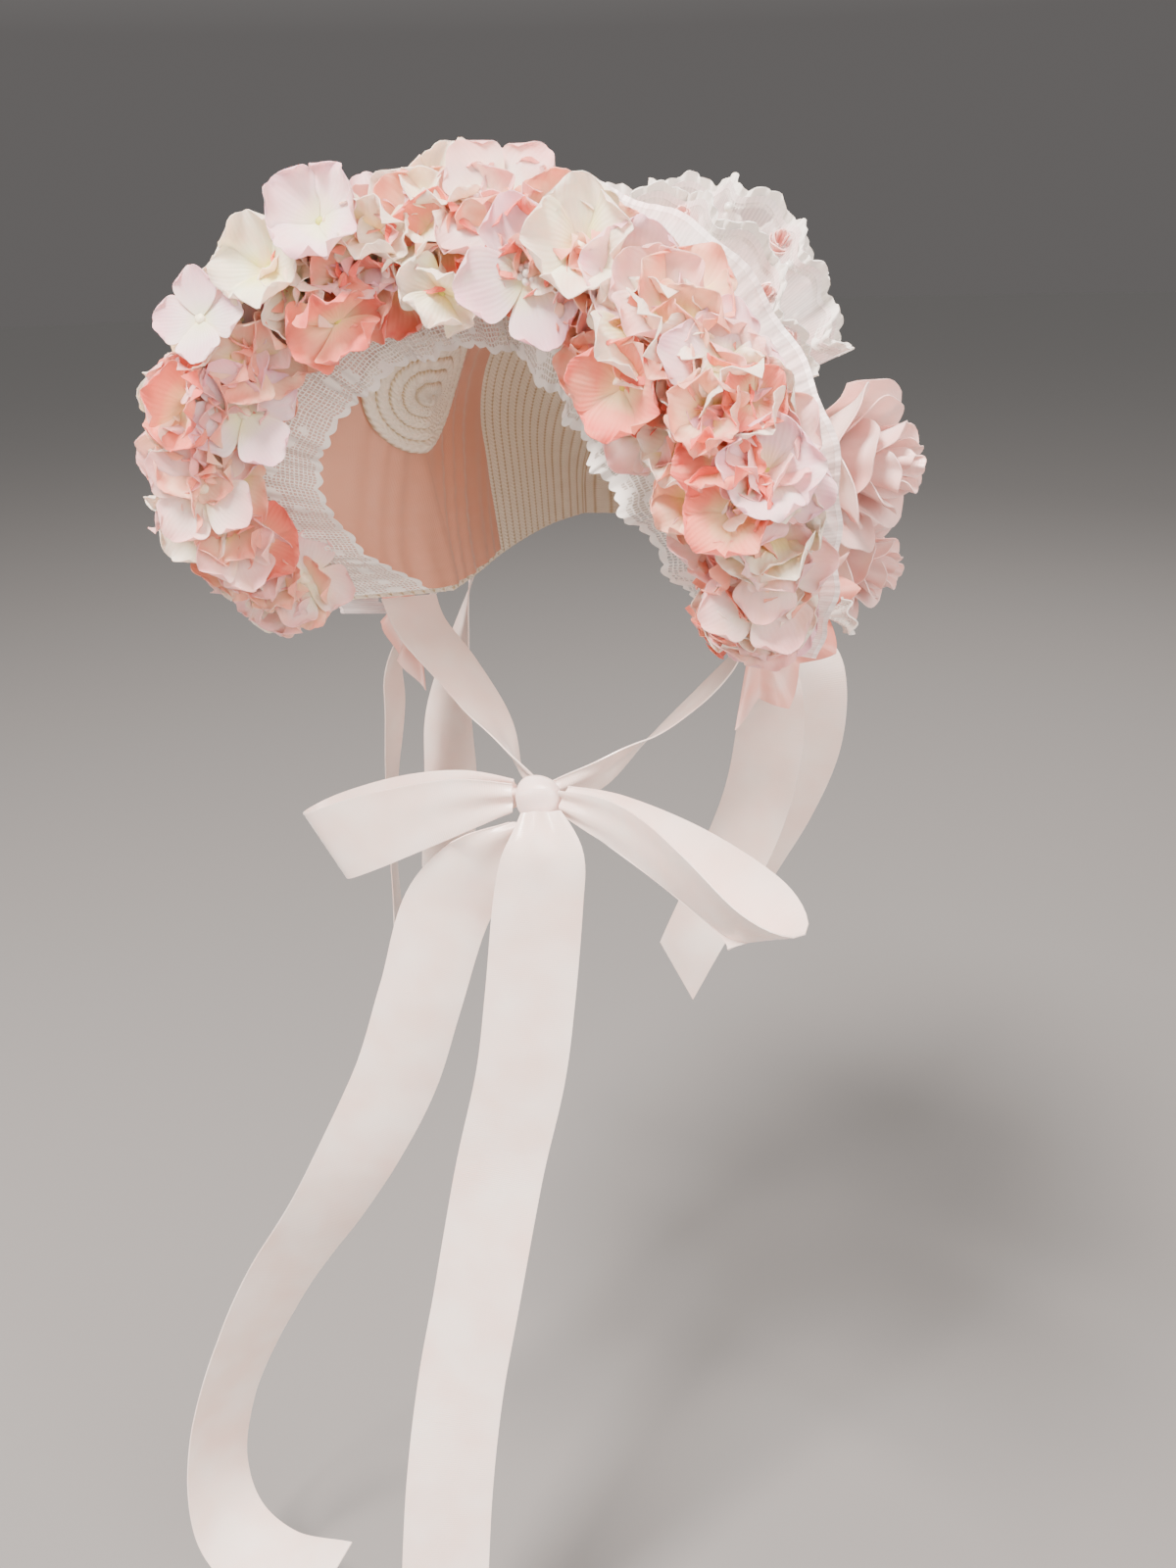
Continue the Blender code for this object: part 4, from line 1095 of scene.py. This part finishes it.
def makeCluster(index, chance):
    step = 2 / flowers["clusters"]
    first = -1 + index * 2 / flowers["clusters"]
    turns = flowers["turnsLeft"] if first + step / 2 > 0.2 else flowers["turns"]
    pieces = [makeBacking(first, step)]
    for number, baseTurn in enumerate(turns):
        for column in flowers["columns"]:
            shift = 0.0 if number % 2 else flowers["stagger"]
            along = first + step * (column + shift - flowers["stagger"] / 2
                                    + chance.uniform(-0.06, 0.06))
            along = min(along, flowers["lastAlong"])
            point, out, normal = edgeFrame(along)
            turn = baseTurn + chance.uniform(-8, 8)
            if flowers["frillShows"][0] < along < flowers["frillShows"][1]:
                turn = min(turn, flowers["frillTurn"])
            if along > flowers["frillEnd"] and baseTurn < flowers["behindTurn"]:
                turn = min(turn, flowers["frillEndTurn"])
            turn = math.radians(turn)
            away = out * math.cos(turn) + normal * math.sin(turn)
            behind = baseTurn > flowers["behindTurn"] and turns is flowers["turnsLeft"]
            reach = flowers["behindReach"] if behind else flowers["reach"]
            centre = point + away * (reach + chance.uniform(-4, 3))
            lean = Vector([chance.uniform(-0.25, 0.25) for axis in range(3)])
            lean += flowers["shownSide"] * 0.3
            spin = chance.uniform(0, math.tau)
            size = chance.uniform(0.82, 1.0) * (flowers["behindSize"] if behind else 1)
            # the underside of the band, which lies in shade, draws on more coral and peach
            # florets and the lit top on pale pinks and creams: partly the florets' own colours,
            # partly painted shade
            mix = flowers["innerMix"] if baseTurn < -25 else flowers["outerMix"]
            seat = facingMatrix(centre, (away + lean).normalized(), spin, size)
            pieces.append(copyOf(floretModels[chance.choice(mix)], "floret", seat))
    for table, seatOf in (("overLace", laceSeat), ("shown", edgeSeat)):
        for row in flowers[table]:
            if clusterOf(row.along) == index:
                seat = facingMatrix(*seatOf(row), math.radians(row.spin), row.size)
                pieces.append(copyOf(floretModels[row.model], "floret", seat))
    cluster = joinAll(f"hydrangeaCluster{index + 1:02d}", pieces)
    smooth(cluster, 60)
    finishPiece(cluster, clusterSlots[index % 3], f"flower_cluster_{index + 1:02d}")


shuffle = random.Random(flowers["seed"])
for clusterIndex in range(flowers["clusters"]):
    makeCluster(clusterIndex, shuffle)
for floretModel in floretModels.values():
    putAway(floretModel)
print("flower clusters made")


# satin roses: petals cut from satin, cupped and rolled back at their rims
Rose = namedtuple("Rose", "name node section along radius depth leanY leanZ")
roses = {
    "rows": [
        Rose("roseLarge", "rose_large", 1.40, 0.667, 36, 66, -0.12, 0.02),
        Rose("roseSmall", "rose_small", 2.00, 0.920, 27, 52, -0.14, -0.16),
    ],
    "petals": 17,
    "goldenAngle": 2.39996,
}
roseSatin = satinMaterial("blushRoseSatin", "#FDDFDA", "#FAB9B0", 46, 44, 0.36)


def rosePetal(rose, share, number):
    # a petal is a piece of a bowl that opens with share, from the bud 0 to the outermost 1
    span = math.radians(90 - 26 * share)
    inner = 1.5 + 0.10 * rose.radius * share
    outer = rose.radius * (0.16 + 0.86 * share ** 1.1)
    height = rose.depth * (1.0 - 0.36 * share ** 1.3)

    def place(u, v):
        across = 2 * u - 1
        rounded = 1 - 0.24 * abs(across) ** 3.2
        point = 0.06 * share * (1 - abs(across)) ** 2
        climb = v * (rounded + point)
        roll = max(v - 0.74, 0) / 0.26
        radius = inner + (outer - inner) * climb ** (1.5 - 0.6 * share)
        radius += rose.radius * 0.10 * share * roll ** 1.5
        radius += rose.radius * 0.05 * v * math.sin(6 * across + number * 1.7)
        rise = height * (climb - 0.06 * share * roll * roll)
        angle = span * across * (0.75 + 0.25 * math.sin(math.pi * min(v + 0.15, 1)))
        return Vector((radius * math.cos(angle), radius * math.sin(angle), rise))

    return makeSheet("rosePetal", 18, 14, place)


def makeRose(rose, side):
    root, normal, _ = crownFrame(rose.section, side * rose.along)
    axis = (normal + Vector((0, rose.leanY, rose.leanZ))).normalized()
    foot = root + normal * (crown["felt"] + 1.0)
    seat = Matrix.Translation(foot * mm) @ axis.to_track_quat("Z", "Y").to_matrix().to_4x4()
    petals = []
    for number in range(roses["petals"]):
        share = number / (roses["petals"] - 1)
        petal = rosePetal(rose, share, number + 3 * side)
        giveWall(petal, 0.5)
        petal.data.transform(seat @ Matrix.Rotation(side * number * roses["goldenAngle"], 4, "Z"))
        petals.append(petal)
    made = joinAll(rose.name + ("Left" if side > 0 else "Right"), petals)
    paint(smooth(made, 60), roseSatin)
    finishPiece(made, "rose_satin", rose.node + ("_left" if side > 0 else "_right"))


for roseSide in (-1, 1):
    for roseRow in roses["rows"]:
        makeRose(roseRow, roseSide)
print("satin roses made")


# pleated satin fans under each end of the brim
Spoke = namedtuple("Spoke", "swing length")
fan = {
    "spokes": [
        Spoke(0, 54), Spoke(14, 44), Spoke(26, 55), Spoke(42, 41), Spoke(56, 50),
        Spoke(74, 38), Spoke(90, 47), Spoke(104, 36), Spoke(116, 42),
    ],
    "pleat": 4.5,
    "root": 7,
    "along": 0.965,
    "place": 0.28,
    "clear": 1.0,
    "perSpoke": 8,
}
fanSatin = satinMaterial("coralFanSatin", "#FBD2C8", "#F67F68", 60, 50, 0.36)


def fanRoot(side):
    # where a fan is sewn on, and the way that it spreads to
    place, out, normal = brimFrame(side * fan["along"], fan["place"])
    outward = Vector((side * 0.84, 0.50, 0.16)).normalized()
    return place + normal * (crown["felt"] + fan["clear"]), outward


def makeFan(side):
    centre, outward = fanRoot(side)
    down = Vector((side * -0.10, -0.26, -0.96)).normalized()
    facing = down.cross(outward).normalized()

    def fanPoint(u, v):
        spot = u * (len(fan["spokes"]) - 1)
        low = min(int(spot), len(fan["spokes"]) - 2)
        share = spot - low
        a = fan["spokes"][low]
        b = fan["spokes"][low + 1]
        swing = math.radians(a.swing + (b.swing - a.swing) * share)
        length = a.length + (b.length - a.length) * share
        way = down * math.cos(swing) + outward * math.sin(swing)
        pleat = fan["pleat"] * (0.12 + v) * (-1) ** low * math.cos(math.pi * share)
        reach = fan["root"] + v * (length - fan["root"])
        belly = 2.5 * math.sin(math.pi * v) * math.sin(spot * 2.1)
        return centre + way * reach + facing * (pleat + belly)

    name = "satinFanLeft" if side > 0 else "satinFanRight"
    columns = fan["perSpoke"] * (len(fan["spokes"]) - 1)
    sheet = makeCloth(name, columns, 14, fanPoint, 0.5, fanSatin, 70)
    finishPiece(sheet, "rose_satin", "satin_fan_left" if side > 0 else "satin_fan_right")


for fanSide in (-1, 1):
    makeFan(fanSide)

# a tuft of gathered lace at the outer end of the fan on the wearer's left
laceTuft = {
    "fromRoot": 30,
    "drop": 9,
    "radius": 14,
    "folds": 8,
    "foldDepth": 1.9,
}


def makeLaceTuft():
    root, outward = fanRoot(1)
    centre = root + outward * laceTuft["fromRoot"]
    centre.z -= laceTuft["drop"]
    turn = outward.to_track_quat("Z", "Y")

    def tuftPoint(u, v):
        angle = math.tau * u
        spread = laceTuft["radius"] * v * (0.8 + 0.2 * math.sin(2 * angle + 1))
        fold = laceTuft["foldDepth"] * v * math.sin(laceTuft["folds"] * angle)
        rise = 11 * math.sin(1.7 * v) + fold
        return centre + turn @ Vector((spread * math.cos(angle), spread * math.sin(angle), rise))

    sheet = makeCloth("laceTuft", 120, 12, tuftPoint, 0.5, laceMaterial("tuftLace", 90, 18, 0.25))
    finishPiece(sheet, "white_lace")


makeLaceTuft()


# round of sewn braid inside, at the wearer's right temple
braidRound = {
    "along": -0.43,
    "radius": 36,
    "rows": 5,
    "ridge": 1.7,
    "step": 1.1,
    "inset": 3.1,
    "weld": 0.02,        # joins the two ends of the sheet
}


def makeBraidRound():
    rows = braidRound["rows"]

    def place(u, v):
        angle = math.tau * u
        radius = braidRound["radius"] * max(1 - v, 0.004)
        row = min(int(v * rows), rows - 1)
        within = v * rows - row
        ridge = braidRound["ridge"] * abs(math.sin(math.pi * within)) ** 0.5
        height = 1.2 + braidRound["step"] * row + ridge
        plait = 0.28 * math.sin(angle * radius / 0.9) * ridge
        along = braidRound["along"] + radius * math.cos(angle) / crownFront.half
        return innerWall(along, radius * math.sin(angle),
                         braidRound["inset"] + height + plait)

    sheet = makeSheet("sewnBraidRound", 200, rows * 8, place)
    pick(sheet)
    bpy.ops.object.mode_set(mode="EDIT")
    bpy.ops.mesh.select_all(action="SELECT")
    bpy.ops.mesh.remove_doubles(threshold=braidRound["weld"] * mm)
    bpy.ops.object.mode_set(mode="OBJECT")
    giveWall(sheet, 1.2)
    paint(smooth(sheet), braidMaterial("ivoryRoundBraid", 130, rows))
    finishPiece(sheet, "ivory_braid", "braid_round")


makeBraidRound()
print("fans and braid round made")


# satin ribbons, one row for each place along the ribbon's middle
Spot = namedtuple("Spot", "x y z width turn")
ribbons = {
    "fineSteps": 400,
    "crease": 108,
    "creaseDepth": 3.2,
    "tieLeft": [
        Spot(81, -43, -162, 32, 0), Spot(64, -45, -181, 29, 0), Spot(43, -52, -201, 26, 12),
        Spot(26, -70, -215, 18, 50), Spot(9, -84.1, -222, 12, 84),
    ],
    "tieRight": [
        Spot(-81, -43, -162, 32, 0), Spot(-62, -45, -181, 29, 0),
        Spot(-40, -52, -201, 26, -12), Spot(-18, -70, -215, 18, -50),
        Spot(1, -84.1, -222, 12, -84),
    ],
    "loopRight": [
        Spot(-7.2, -94.8, -222, 13, 0), Spot(-32, -104, -226, 27, 0),
        Spot(-66, -117, -237, 36, 0), Spot(-94, -118, -250, 38, 0),
        Spot(-103, -108, -254, 38, 0), Spot(-92, -98, -249, 38, 0),
        Spot(-62, -95, -236, 34, 0), Spot(-32, -93, -226, 26, 0),
        Spot(-7.2, -90.5, -221, 13, 0),
    ],
    "loopLeft": [
        Spot(17.2, -94.8, -221, 13, 0), Spot(50, -105, -225, 26, 10),
        Spot(84, -119, -236, 34, 22), Spot(112, -127, -250, 36, 30),
        Spot(123, -120, -257, 37, 26), Spot(113, -108, -251, 36, 14),
        Spot(82, -102, -236, 32, 6), Spot(46, -96, -225, 24, 0),
        Spot(17.2, -90.5, -221, 13, 0),
    ],
    "tailLeft": [
        Spot(10, -100.4, -224, 18, 0), Spot(15, -109, -240, 36, 0),
        Spot(13, -113, -264, 41, 0), Spot(10, -120, -311, 42, 0), Spot(7, -128, -350, 42, 0),
        Spot(0, -142, -398, 42, 0), Spot(-5, -162, -457, 42, 8), Spot(-8, -178, -500, 42, 4),
        Spot(-7, -196, -545, 42, 0), Spot(-3, -214, -592, 42, 0), Spot(0, -222, -612, 42, 0),
    ],
    "tailRight": [
        Spot(1, -93, -233.8, 12, 0), Spot(-14, -101, -247, 30, 0), Spot(-40, -106, -280, 42, 0),
        Spot(-55, -113, -329, 42, 0), Spot(-71, -123, -381, 42, -10),
        Spot(-101, -140, -444, 42, -30), Spot(-130, -156, -494, 42, -42),
        Spot(-150, -170, -540, 42, -52), Spot(-160, -182, -580, 42, -60),
        Spot(-160, -192, -612, 42, -62), Spot(-147, -200, -634, 42, -52),
        Spot(-117, -206, -640, 42, -40), Spot(-80, -208, -632, 42, -26),
    ],
    "streamerLeftInner": [
        Spot(93, -20, -172, 24, 40), Spot(91, -20, -210, 34, 80), Spot(84, -21, -245, 35, 88),
        Spot(68, -22, -286, 34, 90), Spot(46, -26, -338, 30, 88),
    ],
    "streamerLeftOuter": [
        Spot(97, 10, -162, 22, 30), Spot(107, 8, -182, 26, 50), Spot(105, 8, -216, 28, 60),
        Spot(93, 6, -251, 28, 62), Spot(77, 4, -285, 26, 62),
    ],
    "streamerRightFront": [
        Spot(-104, -12, -166, 20, 0), Spot(-114, -19, -190, 22, 6),
        Spot(-116, -20, -216, 24, 8), Spot(-122, -20, -258, 24, 0),
        Spot(-123, -22, -312, 23, -10), Spot(-124, -24, -362, 20, 0),
    ],
    "streamerRightBack": [
        Spot(-93, 18, -178, 24, -40), Spot(-103, 13, -228, 32, -76),
        Spot(-104, 11, -268, 34, -84), Spot(-108, 9, -318, 34, -84),
    ],
    "faceOn": Vector((math.cos(math.radians(25)), math.sin(math.radians(25)), 0)),
    "wall": 0.6,
}
SewnEnd = namedtuple("SewnEnd", "wall place width")
sewnEnds = {
    "tie": SewnEnd("brim end", 0.42, 34),
    "streamer": SewnEnd("crown", 0.52, 16),
    "outerStreamer": SewnEnd("crown", 1.3, 14),
    "along": 0.96,
}


def ribbonPath(rows, steps):
    count = ribbons["fineSteps"]
    fine = [smoothRow(rows, place * (len(rows) - 1) / count) for place in range(count + 1)]
    lengths = [0]
    for a, b in zip(fine, fine[1:]):
        lengths.append(lengths[-1] + (Vector(b[:3]) - Vector(a[:3])).length)
    picked = []
    index = 0
    for step in range(steps + 1):
        target = lengths[-1] * step / steps
        while index < len(fine) - 2 and lengths[index + 1] < target:
            index += 1
        share = (target - lengths[index]) / max(lengths[index + 1] - lengths[index], 1e-9)
        row = [a + (b - a) * share for a, b in zip(fine[index], fine[index + 1])]
        picked.append(Spot(*row))
    return picked, lengths[-1]


def ribbonEdges(rows, steps, cut, startAcross):
    path, length = ribbonPath(rows, steps)
    middles = [Vector((row.x, row.y, row.z)) for row in path]
    tangents = []
    for index in range(len(middles)):
        before = middles[max(index - 1, 0)]
        after = middles[min(index + 1, len(middles) - 1)]
        tangents.append((after - before).normalized())
    across = startAcross - tangents[0] * startAcross.dot(tangents[0])
    across.normalize()
    edges = []
    slantReach = max(2, steps // 14)
    for index, row in enumerate(path):
        if index:
            across = tangents[index - 1].rotation_difference(tangents[index]) @ across
        turned = Quaternion(tangents[index], math.radians(row.turn)) @ across
        half = turned * row.width / 2
        slope = startAcross.dot(tangents[0]) / startAcross.cross(tangents[0]).length
        fade = max(1 - index / slantReach, 0)
        slant = tangents[0] * slope * row.width / 2 * fade
        fadeEnd = max(1 - (len(path) - 1 - index) / slantReach, 0)
        slant += tangents[index] * cut / 2 * fadeEnd
        edges.append((middles[index] - half - slant, middles[index] + half + slant,
                      turned.cross(tangents[index])))
    return edges, length


def makeRibbon(name, node, rows, cut, startAcross, steps, gathered=()):
    edges, length = ribbonEdges(rows, steps, cut, startAcross)
    widest = max(row.width for row in rows)

    def place(u, v):
        low, high, facing = edges[round(v * steps)]
        ripple = 0.35 * math.sin(v * length / 23 + 1.1 * math.sin(v * length / 51))
        fromKnot = min([abs(v - end) * length for end in gathered], default=999)
        folds = 1.3 * math.sin(11 * u + 0.7) * math.exp(-fromKnot / 20)
        card = abs((v * length / ribbons["crease"] + 0.35 + 0.12 * u) % 1 - 0.5)
        pressed = min(length / 300, 1) * ribbons["creaseDepth"] * card
        return low.lerp(high, u) + facing * (ripple + folds + pressed)

    satin = satinMaterial(name + "Satin", "#FCE9E1", "#F6D4CA", widest, length, 0.25)
    sheet = makeCloth(name, 20, steps, place, ribbons["wall"], satin)
    print(name, "length", round(length), "mm")
    finishPiece(sheet, "pale_satin", node)


def sewnRow(side, end):
    if end.wall == "crown":
        point, normal, across = crownFrame(end.place, side * sewnEnds["along"])
        point = point + normal * (crown["felt"] + 1.1)
    else:
        point, across, normal = brimFrame(side, end.place)
        point = point + normal * 1.0 + brimOuter.tangent(side) * side * 1.2
    return Spot(*point, end.width, 0), across


def makeRibbons():
    upright = Vector((0, 0, 1))
    faceOn = ribbons["faceOn"]
    for side, label in ((1, "Left"), (-1, "Right")):
        first, across = sewnRow(side, sewnEnds["tie"])
        makeRibbon("chinTie" + label, "chin_tie_" + label.lower(),
                   [first] + ribbons["tie" + label], 0, across, 60,
                   (1,))
        makeRibbon("bowLoop" + label, "bow_loop_" + label.lower(), ribbons["loop" + label], 0,
                   upright, 90, (0, 1))
    makeRibbon("tailLeft", "tail_left", ribbons["tailLeft"], 0, faceOn, 130,
               (0,))
    makeRibbon("tailRight", "tail_right", ribbons["tailRight"], 8, faceOn,
               160, (0,))
    plan = [
        ("streamerLeftInner", "streamer_left_inner", 1, "streamer", 16),
        ("streamerLeftOuter", "streamer_left_outer", 1, "outerStreamer", 12),
        ("streamerRightFront", "streamer_right_front", -1, "streamer", 10),
        ("streamerRightBack", "streamer_right_back", -1, "outerStreamer", 12),
    ]
    for name, node, side, endName, cut in plan:
        first, across = sewnRow(side, sewnEnds[endName])
        makeRibbon(name, node, [first] + ribbons[name], cut, across, 70)


knot = {
    "centre": Vector((5, -92, -222)),
    "size": (11, 7, 11),
    "creases": 5,
}


def makeKnot():
    deselectAll()
    bpy.ops.mesh.primitive_uv_sphere_add(segments=48, ring_count=24, radius=1)
    ball = bpy.context.object
    ball.name = "bowKnot"
    for vertex in ball.data.vertices:
        x, y, z = vertex.co
        angle = math.atan2(z, y)
        crease = 1 + 0.05 * math.cos(knot["creases"] * angle + 2 * x)
        ring = max(1 - x * x, 0) ** 0.35 / max(math.hypot(y, z), 1e-6)
        vertex.co = (knot["centre"] + Vector((
            knot["size"][0] * x,
            knot["size"][1] * y * ring * crease,
            knot["size"][2] * z * ring * crease))) * mm
    paint(smooth(ball, 70), satinMaterial("bowKnotSatin", "#FAE8E3", "#F4D4CD", 22, 30))
    finishPiece(ball, "pale_satin", "bow_knot")


makeKnot()
makeRibbons()
print("ribbons made")


# floor and soft studio light
studio = {
    "floor": -0.70,
    "floorSize": 30,
    "aim": (0, 0, -0.15),
    "key": (-0.3, -1.2, 1.9, 205, 0.7),
    "fill": (1.7, -1.3, 0.5, 66, 1.6),
    "back": (0.3, 1.7, 1.3, 30, 1.4),
    "low": (-1.1, -1.3, 0.05, 16, 0.5),
    "light": "#FFF3EA",
    "floorPaint": "#7E7D7D",
    "horizon": "#716E6D",
    "overhead": "#D6D3D0",
}


def makeStudio():
    deselectAll()
    bpy.ops.mesh.primitive_circle_add(vertices=96, radius=studio["floorSize"] / 2,
                                      fill_type="NGON", location=(0, 0, studio["floor"]))
    floor = bpy.context.object
    floor.name = "floor"
    material, shader = newMaterial("paleFloorPaint", Roughness=0.85)
    shader.inputs["Base Color"].default_value = hexColour(studio["floorPaint"])
    paint(floor, material)
    for name in ("key", "fill", "back", "low"):
        x, y, z, power, size = studio[name]
        light = bpy.data.lights.new(name, "AREA")
        light.energy = power
        light.size = size
        light.color = hexColour(studio["light"])[:3]
        seat = bpy.data.objects.new(name, light)
        seat.location = (x, y, z)
        aim = Vector(studio["aim"]) - Vector((x, y, z))
        seat.rotation_mode = "QUATERNION"
        seat.rotation_quaternion = aim.to_track_quat("-Z", "Y")
        bpy.context.collection.objects.link(seat)
    # soft light from above that fades to the floor's own tone at the horizon
    world = bpy.data.worlds.new("studio")
    world.use_nodes = True
    sky = world.node_tree.nodes["Background"]
    sky.inputs["Strength"].default_value = 0.8
    direction = addNode(world, "TexCoord")
    parts = addNode(world, "SeparateXYZ", {"Vector": (direction, "Generated")})
    glow = ramp(addNode(world, "ValToRGB", {"Fac": (parts, "Z")}),
                (0.12, hexColour(studio["horizon"])), (0.55, hexColour(studio["overhead"])))
    world.node_tree.links.new(glow.outputs["Color"], sky.inputs["Color"])
    bpy.context.scene.world = world


makeStudio()

print("scene finished")
